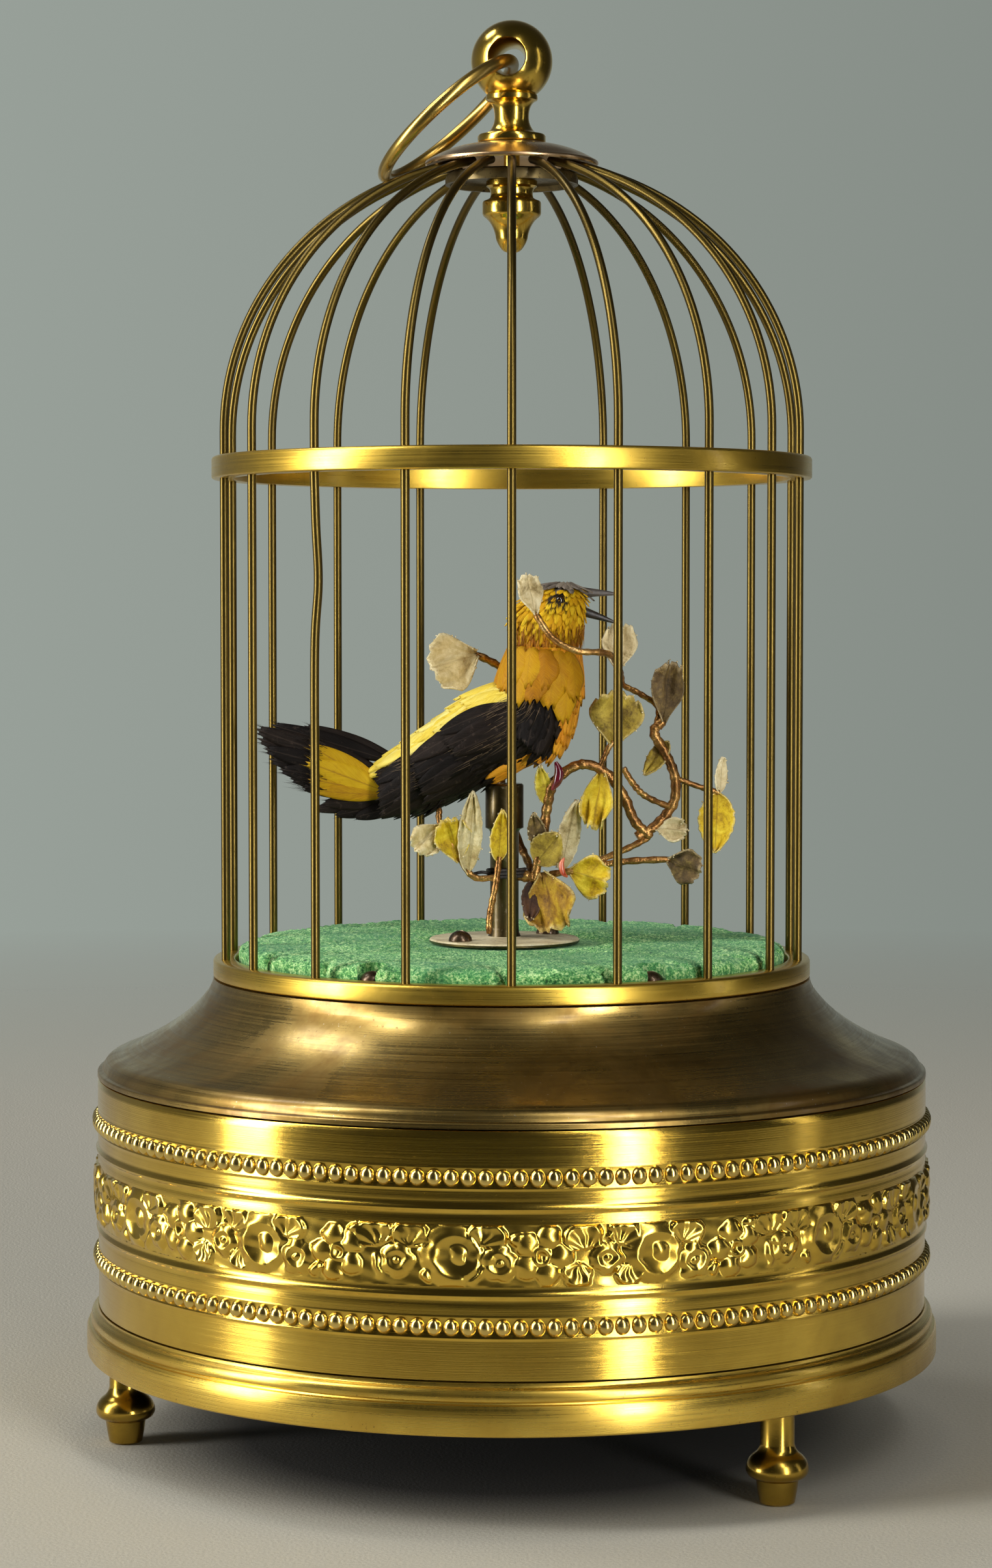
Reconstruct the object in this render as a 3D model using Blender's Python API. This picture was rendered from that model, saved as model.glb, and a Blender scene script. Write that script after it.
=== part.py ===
# A brass birdcage music box with a feathered bird, at its real size.
# Metres, +Z up. The origin is on the floor under the middle of the round base,
# and the front of the cage faces -Y.

import math

import bmesh
import bpy
from mathutils import Matrix, Vector

# Clearances and sheet sizes
GAP = 0.0003              # between pieces that touch
RUNNING = 0.0003          # round a shaft or wire in its hole
WALL = 0.0012             # drawn brass sheet
MERGE = 0.000001

# Base, from the floor up
FOOT_STAND = 0.0169       # floor to the underside of the plinth
FOOT_INSET = 0.0070       # edge of the plinth to the middle of a foot
FOOT_RADIUS = 0.0055
FOOT_STEM_RADIUS = 0.0030
FOOT_FIRST_ANGLE = -50.7  # degrees from +X
FOOT_STUD_RADIUS = 0.0015
PLINTH_RADIUS = 0.0800
PLINTH_BAND = 0.0054
MOULDING = 0.0034
PLINTH_LEDGE = 0.0100     # how far the foot ledge reaches in
LEDGE_THICKNESS = 0.0017
DRUM_INSET = 0.00225      # edge of the plinth to the drum's wall
DRUM_HEIGHT = 0.0422
BEAD_RADIUS = 0.0015
BEAD_STANDOUT = 0.00105
LOWER_BEADS = 0.0090      # heights above the drum's lower edge
UPPER_BEADS = 0.0343
LOWER_RIB = 0.0149
UPPER_RIB = 0.0291
RIB_WIDTH = 0.0010
RIB_STANDOUT = 0.00035
FRIEZE_STANDOUT = 0.0010
FRIEZE_SUNK = 0.0006      # how far the flowers' roots reach into the wall
FLOWER_TOP = 0.66         # top of a flower as a share of its root
FRIEZE_REPEATS = 7
FRIEZE_START = -33.5      # degrees from the front
# One repeat of the frieze: degrees along, height above the drum's lower edge, radius and
# sides of each flower or leaf
FRIEZE_FLOWERS = (
    (0.0, 0.0214, 0.0048, 8), (5.6, 0.0194, 0.0029, 6), (4.6, 0.0246, 0.0018, 4),
    (11.4, 0.0209, 0.0044, 5), (16.0, 0.0247, 0.0018, 4), (19.0, 0.0200, 0.0026, 6),
    (20.9, 0.0246, 0.0018, 4), (26.0, 0.0212, 0.0048, 8), (30.6, 0.0246, 0.0018, 4),
    (32.0, 0.0197, 0.0029, 6), (37.3, 0.0212, 0.0046, 5), (42.4, 0.0243, 0.0020, 4),
    (41.6, 0.0181, 0.0018, 4), (45.4, 0.0206, 0.0026, 6), (47.6, 0.0245, 0.0018, 4),
    (48.2, 0.0179, 0.0018, 4),
)
COVER_HEIGHT = 0.0179
COVER_RIM = 0.0010
SHELL_SEGMENTS = 40

# Cage
CAGE_RADIUS = 0.0540      # circle through the middle of the bars
BAR_COUNT = 18
BAR_RADIUS = 0.0008
BASE_RING_HEIGHT = 0.0034
RING_INWARD = 0.0020      # how far the rings reach inside the bar circle
RING_OUTWARD = 0.0021
HOOP_HEIGHT = 0.0041
HOOP_UP = 0.0928          # base ring's underside to the hoop's underside
SHOULDER_UP = 0.1013      # base ring's underside to where the dome begins
DOME_HEIGHT = 0.0509
BAR_END_RADIUS = 0.0110   # where the wires end under the cap
DOME_STEPS = 8
RING_SEGMENTS = 36

# Crown
CAP_RADIUS = 0.0162
CAP_THICKNESS = 0.0009
CAP_FLAT = 0.0070
CAP_RISE = 0.0013
CROWN_PLATE_RADIUS = 0.0122
CROWN_PLATE_THICKNESS = 0.0010
CROWN_PLATE_LIP = 0.0012
STUD_RADIUS = 0.0015
FINIAL_FOOT_RADIUS = 0.00635
FINIAL_FOOT = 0.0016
FINIAL_NECK_RADIUS = 0.0032
FINIAL_COLLAR_RADIUS = 0.0048
BALL_RADIUS = 0.0076
BALL_UP = 0.0154          # top of the cap to the middle of the ball
BALL_HOLE_RADIUS = 0.0036
BALL_HOLE_TURN = -7.5     # degrees that the ball's hole is turned about Z
NUT_RADIUS = 0.0055
NUT_NECK_RADIUS = 0.0039
NUT_HEIGHT = 0.0135
HANDLE_RADIUS = 0.0158
HANDLE_WIRE_RADIUS = 0.00125
HANDLE_SHIFT = 0.0001     # ring wire below the hole's axis

# Cage floor and stand
BOARD_THICKNESS = 0.0015
FELT_THICKNESS = 0.0038
FELT_PUFF = 0.0005
SCREW_HEAD_RADIUS = 0.0022
SCREW_HEAD_HEIGHT = 0.0018
SCREW_SHANK_RADIUS = 0.0010
DRILL_DEPTH = 0.0200      # long enough to pass the felt and the board
SCREW_SUNK = 0.0026       # felt top to the underside of a floor screw's head
STAND_X = -0.00135
STAND_FLANGE_RADIUS = 0.0141
STAND_FLANGE = 0.0008
POST_RADIUS = 0.0027
POST_HEIGHT = 0.0206
SOCKET_RADIUS = 0.0036
SOCKET_HEIGHT = 0.0085
ROD_RADIUS = 0.0009
FLANGE_SCREW = (0.0082, 0.0075)
FLOOR_SCREW_INSET = 0.0027  # inside of the base ring to the middle of a floor screw
FLOOR_SCREW_ANGLE = 30.0

# Bird, placed by the top of its stand
HEAD_RADIUS = 0.0063
BEAK_LENGTH = 0.0078
WING_LENGTH = 0.0290
WING_BACK = 0.0084        # stand's axis to the middle of a wing
WING_UP = 0.0062
WING_OUT = 0.0066
WING_FLARE = 0.0045
TAIL_LENGTH = 0.0242
TIE_WIRE_RADIUS = 0.00045
TIE_UP = 0.0110           # stand flange to the wire tie
STEM_RADIUS = 0.00075
LEAF_THICKNESS = 0.0007

# Movement
BOTTOM_THICKNESS = 0.0015
BED_RADIUS = 0.0660
BED_THICKNESS = 0.0020
ARBOR_RADIUS = 0.0020
AXLE_RADIUS = 0.0013
DRIVE_MODULE = 0.0015
FINE_MODULE = 0.00075
GREAT_TEETH = 32
CAM_PINION_TEETH = 8
CAM_WHEEL_TEETH = 28
SECOND_PINION_TEETH = 8
SECOND_WHEEL_TEETH = 24
FAN_PINION_TEETH = 8
TOOTH_ADDENDUM = 0.85     # in modules
TOOTH_DEDENDUM = 1.20
TOOTH_BASE = 0.42         # in tooth pitches
TOOTH_TIP = 0.16
CAM_AXIS = (0.0300, 0.0)
BARREL_DIRECTION = 135.0  # from the cam axis, degrees
SECOND_DIRECTION = -50.0
FAN_DIRECTION = -110.0    # from the second wheel
WHEEL_THICKNESS = 0.0020
BARREL_RADIUS = 0.0220
BARREL_HEIGHT = 0.0190
HUB_RADIUS = 0.0024
CAM_RADIUS = 0.0120
CAM_COUNT = 3
CAM_THICKNESS = 0.0016
FAN_BLADE = 0.0078
FAN_HEIGHT = 0.0120
KEY_SOCKET_RADIUS = 0.0034
KEY_BOW = 0.0085
KEY_HEIGHT = 0.0140
CRANK_X = 0.0165
CRANK_UP = 0.0090         # crank pivot above the middle of the top cam
CRANK_THICKNESS = 0.0024
CRANK_POST_Y = -0.0080
CRANK_POST_RADIUS = 0.0022
CHEST_LOW = (-0.0590, -0.0330)
CHEST_HIGH = (-0.0240, 0.0330)
CHEST_HEIGHT = 0.0110
BELLOWS_FOLD = 0.0040
BELLOWS_BOARD = 0.0016
PISTON_RADIUS = 0.0032
PISTON_LENGTH = 0.0260
WHISTLE_LENGTH = 0.0300
WHISTLE_MOUTH = 0.0016
STOP_INSET = 0.0339       # edge of the plinth to the lever's pivot
STOP_ANGLE = -49.4        # degrees round from +X to the pivot
STOP_LENGTH = 0.0220
STOP_WIDTH = 0.0050
STOP_THICKNESS = 0.0015
STOP_NOSE = 0.0020
STOP_KNOB_RADIUS = 0.0017
STOP_KNOB_DROP = 0.0080
STOP_TURN = -25.0         # degrees that the lever points from +X

# Heights worked out from the sizes above
PLINTH_TOP = FOOT_STAND + PLINTH_BAND + MOULDING
DRUM_LOW = PLINTH_TOP + GAP
DRUM_RADIUS = PLINTH_RADIUS - DRUM_INSET
FOOT_CIRCLE = PLINTH_RADIUS - FOOT_INSET
STOP_PIVOT = ((PLINTH_RADIUS - STOP_INSET) * math.cos(math.radians(STOP_ANGLE)),
              (PLINTH_RADIUS - STOP_INSET) * math.sin(math.radians(STOP_ANGLE)))
DRUM_TOP = DRUM_LOW + DRUM_HEIGHT
COVER_LOW = DRUM_TOP + GAP
COVER_TOP = COVER_LOW + COVER_HEIGHT
RING_LOW = COVER_TOP + GAP
RING_INNER = CAGE_RADIUS - RING_INWARD
RING_OUTER = CAGE_RADIUS + RING_OUTWARD
FLOOR_SCREW_CIRCLE = RING_INNER - FLOOR_SCREW_INSET
HOOP_LOW = RING_LOW + HOOP_UP
SHOULDER = RING_LOW + SHOULDER_UP
BOARD_LOW = RING_LOW
BOARD_TOP = BOARD_LOW + BOARD_THICKNESS
FELT_LOW = BOARD_TOP + GAP
FELT_TOP = FELT_LOW + FELT_THICKNESS
STAND_LOW = FELT_TOP + GAP
STAND_TOP = STAND_LOW + STAND_FLANGE
POST_TOP = STAND_TOP + POST_HEIGHT
SOCKET_TOP = POST_TOP + SOCKET_HEIGHT
BOTTOM_LOW = FOOT_STAND + LEDGE_THICKNESS + GAP
BOTTOM_TOP = BOTTOM_LOW + BOTTOM_THICKNESS
BED_LOW = BOTTOM_TOP + GAP
BED_TOP = BED_LOW + BED_THICKNESS


def dome_point(radius):
    """Height of the middle of a bar where it is this far from the axis."""
    return SHOULDER + DOME_HEIGHT * math.sqrt(1.0 - (radius / CAGE_RADIUS) ** 2)


CAP_EDGE_LOW = dome_point(CAP_RADIUS) + BAR_RADIUS + GAP
CAP_TOP = dome_point(CAP_FLAT) + BAR_RADIUS + GAP + CAP_THICKNESS + CAP_RISE
PLATE_TOP = dome_point(CROWN_PLATE_RADIUS) - BAR_RADIUS - GAP
PLATE_LOW = PLATE_TOP - CROWN_PLATE_THICKNESS
NUT_TOP = PLATE_LOW - GAP
BALL_CENTRE = Vector((0.0, 0.0, CAP_TOP + BALL_UP))

# Each finish: colour, roughness, metallic
FINISHES = {
    "polished_brass": ((0.72, 0.52, 0.20), 0.22, 1.0),
    "brushed_brass": ((0.70, 0.52, 0.24), 0.38, 1.0),
    "satin_brass": ((0.62, 0.46, 0.22), 0.45, 1.0),
    "pink_bronze": ((0.66, 0.47, 0.30), 0.35, 1.0),
    "dark_brass": ((0.30, 0.23, 0.12), 0.50, 1.0),
    "brown_steel": ((0.12, 0.09, 0.07), 0.55, 0.9),
    "steel": ((0.48, 0.48, 0.48), 0.35, 1.0),
    "green_velvet": ((0.02, 0.26, 0.11), 0.95, 0.0),
    "pine": ((0.52, 0.38, 0.22), 0.70, 0.0),
    "pale_leather": ((0.72, 0.60, 0.46), 0.75, 0.0),
    "orange_feather": ((0.80, 0.22, 0.03), 0.85, 0.0),
    "yellow_feather": ((0.85, 0.60, 0.06), 0.85, 0.0),
    "black_feather": ((0.05, 0.04, 0.04), 0.70, 0.0),
    "grey_horn": ((0.30, 0.27, 0.25), 0.45, 0.0),
    "leaf_green": ((0.35, 0.36, 0.12), 0.75, 0.0),
}


def clear_scene():
    for old in list(bpy.data.objects):
        bpy.data.objects.remove(old, do_unlink=True)


def give_finish(obj, finish):
    colour, roughness, metallic = FINISHES[finish]
    made = bpy.data.materials.new(obj.name + "_" + finish)
    made.use_nodes = True
    shader = made.node_tree.nodes["Principled BSDF"]
    shader.inputs["Base Color"].default_value = (*colour, 1.0)
    shader.inputs["Roughness"].default_value = roughness
    shader.inputs["Metallic"].default_value = metallic
    obj.data.materials.append(made)


def add_mesh(name, bm, finish):
    """Turns a finished bmesh into a closed, outward facing, smoothly shaded object."""
    bmesh.ops.remove_doubles(bm, verts=bm.verts, dist=MERGE)
    bmesh.ops.recalc_face_normals(bm, faces=bm.faces)
    mesh = bpy.data.meshes.new(name)
    bm.to_mesh(mesh)
    bm.free()
    mesh.shade_smooth()
    mesh.set_sharp_from_angle(angle=math.radians(35.0))
    obj = bpy.data.objects.new(name, mesh)
    bpy.context.collection.objects.link(obj)
    if finish:
        give_finish(obj, finish)
    return obj


def turned(name, outline, finish, segments, hollow=False):
    """Spins (radius, height) points about Z: a solid down to the axis, or a hollow ring."""
    bm = bmesh.new()
    points = [bm.verts.new((radius, 0.0, height)) for radius, height in outline]
    following = points[1:] + points[:1] if hollow else points[1:]
    edges = [bm.edges.new(pair) for pair in zip(points, following)]
    bmesh.ops.spin(bm, geom=points + edges, cent=(0, 0, 0), axis=(0, 0, 1),
                   angle=math.tau, steps=segments, use_merge=True)
    return add_mesh(name, bm, finish)


def lofted(name, sections, finish):
    """Skins rings of points that have equal counts and closes both ends."""
    bm = bmesh.new()
    rings = [[bm.verts.new(point) for point in section] for section in sections]
    for low, high in zip(rings, rings[1:]):
        for i in range(len(low)):
            j = (i + 1) % len(low)
            bm.faces.new((low[i], low[j], high[j], high[i]))
    bm.faces.new(rings[0])
    bm.faces.new(rings[-1])
    return add_mesh(name, bm, finish)


def plate(name, outline, low, high, finish):
    """Extrudes an (x, y) outline from one height to another."""
    bm = bmesh.new()
    face = bm.faces.new([bm.verts.new((x, y, low)) for x, y in outline])
    raised = bmesh.ops.extrude_face_region(bm, geom=[face])["geom"]
    tops = [item for item in raised if isinstance(item, bmesh.types.BMVert)]
    bmesh.ops.translate(bm, verts=tops, vec=(0, 0, high - low))
    return add_mesh(name, bm, finish)


def rod(name, radius, start, end, finish=None, segments=10):
    """A round bar between two points."""
    start = Vector(start)
    end = Vector(end)
    along = end - start
    bm = bmesh.new()
    bmesh.ops.create_cone(bm, cap_ends=True, segments=segments, radius1=radius, radius2=radius,
                          depth=along.length)
    turn = along.to_track_quat("Z", "Y").to_matrix().to_4x4()
    bm.transform(Matrix.Translation((start + end) / 2) @ turn)
    return add_mesh(name, bm, finish)


def wire(name, points, radius, sides_step):
    """A bent wire: a curve through points with a round bevel and closed ends."""
    curve = bpy.data.curves.new(name, "CURVE")
    curve.dimensions = "3D"
    curve.bevel_depth = radius
    curve.bevel_resolution = sides_step
    curve.use_fill_caps = True
    spline = curve.splines.new("POLY")
    spline.points.add(len(points) - 1)
    for held, point in zip(spline.points, points):
        held.co = (*point, 1.0)
    obj = bpy.data.objects.new(name, curve)
    bpy.context.collection.objects.link(obj)
    return obj


def smooth_route(points, steps):
    """Points along a smooth curve that passes through the given ones."""
    points = [Vector(point) for point in points]
    ends = [2 * points[0] - points[1]] + points + [2 * points[-1] - points[-2]]
    route = []
    for a, b, c, d in zip(ends, ends[1:], ends[2:], ends[3:]):
        for step in range(steps):
            t = step / steps
            route.append(0.5 * (2 * b + (c - a) * t + (2 * a - 5 * b + 4 * c - d) * t ** 2
                                + (3 * b - a - 3 * c + d) * t ** 3))
    route.append(points[-1])
    return route


def stem_solid(name, points, radius, finish=None, steps=1, sides=5):
    """A bent wire as a mesh, so that it can be joined to others."""
    route = smooth_route(points, steps)
    across = (route[1] - route[0]).orthogonal()
    sections = []
    for i, point in enumerate(route):
        along = (route[min(i + 1, len(route) - 1)] - route[max(i - 1, 0)]).normalized()
        across = (across - along * across.dot(along)).normalized()
        upward = along.cross(across)
        sections.append([point + radius * (across * math.cos(math.tau * k / sides)
                                           + upward * math.sin(math.tau * k / sides))
                         for k in range(sides)])
    return lofted(name, sections, finish)


def use_as_tool(obj):
    obj.hide_render = True
    obj.display_type = "WIRE"
    return obj


def cut(target, tool):
    step = target.modifiers.new("cut " + tool.name, "BOOLEAN")
    step.operation = "DIFFERENCE"
    step.solver = "EXACT"
    step.object = use_as_tool(tool)


def fuse(target, tool):
    step = target.modifiers.new("join " + tool.name, "BOOLEAN")
    step.operation = "UNION"
    step.solver = "EXACT"
    step.object = use_as_tool(tool)


def around(radius, degrees):
    turn = math.radians(degrees)
    return radius * math.cos(turn), radius * math.sin(turn)


def bezier(start, control, end, steps):
    """Points from start to end on a curve that leans towards the control point."""
    points = []
    for step in range(steps + 1):
        t = step / steps
        points.append(tuple((1 - t) ** 2 * a + 2 * t * (1 - t) * b + t ** 2 * c
                            for a, b, c in zip(start, control, end)))
    return points


def build_feet():
    profile = [(0.0, 0.0), (0.0031, 0.0), (0.0038, 0.0044), (0.0050, 0.0050),
               (FOOT_RADIUS, 0.0062), (0.0047, 0.0083), (FOOT_STEM_RADIUS, 0.0102),
               (FOOT_STEM_RADIUS, FOOT_STAND - GAP),
               (FOOT_STUD_RADIUS, FOOT_STAND - GAP),
               (FOOT_STUD_RADIUS, FOOT_STAND + LEDGE_THICKNESS),
               (0.0, FOOT_STAND + LEDGE_THICKNESS)]
    sockets = []
    for order, name in enumerate(("foot_front_right", "foot_back", "foot_left")):
        x, y = around(FOOT_CIRCLE, FOOT_FIRST_ANGLE + 120.0 * order)
        foot = turned(name, profile, "polished_brass", 12)
        foot.location = (x, y, 0.0)
        sockets.append(rod("socket_" + name, FOOT_STUD_RADIUS + RUNNING,
                           (x, y, FOOT_STAND - WALL), (x, y, FOOT_STAND + LEDGE_THICKNESS + WALL)))
    return sockets


def build_plinth(sockets):
    inner = DRUM_RADIUS - WALL
    ledge_inner = PLINTH_RADIUS - PLINTH_LEDGE
    band_top = FOOT_STAND + PLINTH_BAND
    groove = 0.0006
    roll = bezier((PLINTH_RADIUS - groove, band_top + groove),
                  (PLINTH_RADIUS - groove, PLINTH_TOP - 0.0012),
                  (DRUM_RADIUS + 0.0002, PLINTH_TOP - 0.0008), 3)
    outline = ([(ledge_inner, FOOT_STAND), (PLINTH_RADIUS, FOOT_STAND), (PLINTH_RADIUS, band_top)]
               + [(PLINTH_RADIUS - groove, band_top)] + roll
               + [(DRUM_RADIUS + 0.0002, PLINTH_TOP), (inner, PLINTH_TOP),
                  (inner, FOOT_STAND + LEDGE_THICKNESS),
                  (ledge_inner, FOOT_STAND + LEDGE_THICKNESS)])
    plinth = turned("plinth_ring", outline, "satin_brass", SHELL_SEGMENTS, hollow=True)
    for socket in sockets:
        cut(plinth, socket)


def flower_boss(name, degrees, height, radius, sides):
    """A raised flower: a low block with sloping sides, rooted in the drum's wall."""
    out = Vector((*around(1.0, degrees - 90), 0.0))
    level = Vector((-out.y, out.x, 0.0))
    sections = []
    for depth, share in ((-FRIEZE_SUNK, 1.0), (0.0, 1.0), (FRIEZE_STANDOUT, FLOWER_TOP)):
        middle = out * (DRUM_RADIUS + depth) + Vector((0.0, 0.0, DRUM_LOW + height))
        ring = [around(radius * share, 90 + 360 * side / sides) for side in range(sides)]
        sections.append([middle + level * x + Vector((0.0, 0.0, z)) for x, z in ring])
    return lofted(name, sections, None)


def build_drum():
    def bead_row(height):
        middle = DRUM_LOW + height
        flat = BEAD_RADIUS * 0.45
        return [(DRUM_RADIUS, middle - BEAD_RADIUS), (DRUM_RADIUS + BEAD_STANDOUT, middle - flat),
                (DRUM_RADIUS + BEAD_STANDOUT, middle + flat), (DRUM_RADIUS, middle + BEAD_RADIUS)]

    def rib(height):
        middle = DRUM_LOW + height
        return [(DRUM_RADIUS, middle - RIB_WIDTH / 2), (DRUM_RADIUS + RIB_STANDOUT, middle),
                (DRUM_RADIUS, middle + RIB_WIDTH / 2)]

    outline = ([(DRUM_RADIUS - WALL, DRUM_LOW), (DRUM_RADIUS, DRUM_LOW)] + bead_row(LOWER_BEADS)
               + rib(LOWER_RIB) + rib(UPPER_RIB) + bead_row(UPPER_BEADS)
               + [(DRUM_RADIUS, DRUM_TOP), (DRUM_RADIUS - WALL, DRUM_TOP)])
    drum = turned("drum_band", outline, "brushed_brass", SHELL_SEGMENTS, hollow=True)
    for repeat in range(FRIEZE_REPEATS):
        start = FRIEZE_START + 360 * repeat / FRIEZE_REPEATS
        for index, (along, height, radius, sides) in enumerate(FRIEZE_FLOWERS):
            name = "flower_{:d}_{:02d}".format(repeat, index)
            fuse(drum, flower_boss(name, start + along, height, radius, sides))


def build_cover():
    brow = COVER_LOW + 0.0033
    slope = bezier((DRUM_RADIUS - 0.0020, brow), (CAGE_RADIUS + 0.0075, COVER_LOW + 0.0085),
                   (RING_OUTER, COVER_TOP), 4)
    inner_slope = [(radius - WALL, height - WALL) for radius, height in slope[::-2]]
    seat_inner = CAGE_RADIUS - 0.0080
    outline = ([(DRUM_RADIUS - WALL, COVER_LOW), (DRUM_RADIUS, COVER_LOW),
                (DRUM_RADIUS, COVER_LOW + COVER_RIM), (DRUM_RADIUS - 0.0006, brow - 0.0013)] + slope
               + [(seat_inner, COVER_TOP), (seat_inner, COVER_TOP - WALL)] + inner_slope)
    turned("base_cover", outline, "satin_brass", SHELL_SEGMENTS, hollow=True)


def build_cage():
    holes = bmesh.new()
    for order in range(BAR_COUNT):
        x, y = around(CAGE_RADIUS, -90.0 + 360.0 / BAR_COUNT * order)
        low = RING_LOW - WALL
        high = HOOP_LOW + HOOP_HEIGHT + WALL
        bmesh.ops.create_cone(holes, cap_ends=True, segments=6, radius1=BAR_RADIUS + RUNNING,
                              radius2=BAR_RADIUS + RUNNING, depth=high - low,
                              matrix=Matrix.Translation((x, y, (low + high) / 2)))
    drill = add_mesh("bar_hole_drill", holes, None)

    edge = 0.0004
    for name, low, height in (("base_ring", RING_LOW, BASE_RING_HEIGHT),
                              ("cage_hoop", HOOP_LOW, HOOP_HEIGHT)):
        outline = [(RING_INNER, low), (RING_OUTER, low), (RING_OUTER, low + height - edge),
                   (RING_OUTER - edge, low + height), (RING_INNER, low + height)]
        ring = turned(name, outline, "brushed_brass", RING_SEGMENTS, hollow=True)
        ring.rotation_euler.z = math.radians(-90.0)
        cut(ring, drill)

    last = math.acos(BAR_END_RADIUS / CAGE_RADIUS)
    points = [(CAGE_RADIUS, 0.0, RING_LOW)]
    for step in range(DOME_STEPS + 1):
        turn = last * step / DOME_STEPS
        points.append((CAGE_RADIUS * math.cos(turn), 0.0, SHOULDER + DOME_HEIGHT * math.sin(turn)))
    for order in range(BAR_COUNT):
        bar = wire("bar_%02d" % (order + 1), points, BAR_RADIUS, 1)
        bar.rotation_euler.z = math.radians(-90.0 + 360.0 / BAR_COUNT * order)
        give_finish(bar, "polished_brass")


def build_crown():
    bore = STUD_RADIUS + RUNNING
    under = CAP_EDGE_LOW
    top = CAP_TOP
    crest = bezier((CAP_FLAT, top), ((CAP_FLAT + CAP_RADIUS) / 2, top - 0.0006),
                   (CAP_RADIUS, under + CAP_THICKNESS), 3)
    belly = [(radius, height - CAP_THICKNESS) for radius, height in reversed(crest)]
    turned("crown_cap", [(bore, top)] + crest + belly + [(bore, top - CAP_THICKNESS)],
           "pink_bronze", 28, hollow=True)

    rim = CROWN_PLATE_RADIUS
    turned("crown_plate",
           [(bore, PLATE_TOP), (rim, PLATE_TOP), (rim + 0.0002, PLATE_LOW - CROWN_PLATE_LIP),
            (rim - 0.0012, PLATE_LOW - CROWN_PLATE_LIP), (rim - 0.0018, PLATE_LOW),
            (bore, PLATE_LOW)], "dark_brass", 20, hollow=True)

    low = NUT_TOP - NUT_HEIGHT
    blind = low + 0.0050
    turned("drop_nut",
           [(0.0, blind - 0.0006), (bore, blind), (bore, NUT_TOP), (0.0047, NUT_TOP),
            (NUT_NECK_RADIUS, low + 0.0108), (NUT_RADIUS, low + 0.0095), (NUT_RADIUS, low + 0.0073),
            (NUT_NECK_RADIUS, low + 0.0052), (0.0029, low + 0.0023), (0.0018, low + 0.0004), (0.0, low)],
           "polished_brass", 20)

    foot = CAP_TOP + GAP
    shank_low = blind + GAP
    neck_up = foot + FINIAL_FOOT
    centre = BALL_CENTRE.z
    first = math.asin(0.0042 / BALL_RADIUS)
    ball = []
    for step in range(8):
        turn = first + (math.pi - first) * step / 7
        ball.append((BALL_RADIUS * math.sin(turn), centre - BALL_RADIUS * math.cos(turn)))
    ball[-1] = (0.0, ball[-1][1])
    finial = turned("finial",
                    [(0.0, shank_low), (STUD_RADIUS, shank_low), (STUD_RADIUS, foot),
                     (FINIAL_FOOT_RADIUS, foot), (FINIAL_FOOT_RADIUS, neck_up), (0.0045, neck_up + 0.0004),
                     (FINIAL_NECK_RADIUS, neck_up + 0.0032), (0.0037, neck_up + 0.0058),
                     (FINIAL_COLLAR_RADIUS, neck_up + 0.0066),
                     (FINIAL_COLLAR_RADIUS, neck_up + 0.0075)] + ball,
                    "polished_brass", 20)
    turn = math.radians(90.0 + BALL_HOLE_TURN)
    through = Vector((math.cos(turn), math.sin(turn), 0.0)) * BALL_RADIUS * 1.5
    cut(finial, rod("ball_drill", BALL_HOLE_RADIUS, BALL_CENTRE - through, BALL_CENTRE + through,
                    segments=16))


def handle_points(drop):
    """The ring wire's centreline, hanging this many degrees below level on the left."""
    turn = math.radians(BALL_HOLE_TURN)
    side = Vector((-math.sin(turn), math.cos(turn), 0.0))
    level = Vector((-math.cos(turn), -math.sin(turn), 0.0))
    out = level * math.cos(math.radians(drop)) - Vector((0, 0, math.sin(math.radians(drop))))
    middle = BALL_CENTRE + out * (HANDLE_RADIUS + HANDLE_SHIFT)
    ring = []
    for step in range(RING_SEGMENTS):
        angle = math.tau * (step + 0.5) / RING_SEGMENTS
        ring.append(middle + HANDLE_RADIUS * (side * math.sin(angle) - out * math.cos(angle)))
    return ring


def handle_rest_drop():
    """Lets the ring down on to the bars: the drop at which the clearance is left."""
    bars = []
    for order in range(BAR_COUNT):
        direction = Vector((*around(1.0, -90.0 + 360.0 / BAR_COUNT * order), 0.0))
        for step in range(60):
            radius = BAR_END_RADIUS + (1.9 * HANDLE_RADIUS - BAR_END_RADIUS) * step / 59
            bars.append(direction * radius + Vector((0, 0, dome_point(radius))))
    needed = HANDLE_WIRE_RADIUS + BAR_RADIUS + GAP
    low, high = 10.0, 80.0
    for halving in range(16):
        drop = (low + high) / 2
        near = min((point - bar).length for point in handle_points(drop) for bar in bars)
        if near > needed:
            low = drop
        else:
            high = drop
    return low


def build_handle():
    handle = wire("carrying_ring", [point - BALL_CENTRE for point in handle_points(handle_rest_drop())],
                  HANDLE_WIRE_RADIUS, 1)
    handle.data.splines[0].use_cyclic_u = True
    handle.location = BALL_CENTRE
    give_finish(handle, "polished_brass")


def screw(name, x, y, low, shank_low, finish="brown_steel"):
    """A round head screw whose head sits at the given height."""
    made = turned(name, [(0.0, shank_low), (SCREW_SHANK_RADIUS, shank_low), (SCREW_SHANK_RADIUS, low),
                         (SCREW_HEAD_RADIUS, low), (SCREW_HEAD_RADIUS, low + SCREW_HEAD_HEIGHT * 0.4),
                         (SCREW_HEAD_RADIUS * 0.7, low + SCREW_HEAD_HEIGHT * 0.85),
                         (0.0, low + SCREW_HEAD_HEIGHT)], finish, 10)
    made.location = (x, y, 0.0)
    return made


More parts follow.
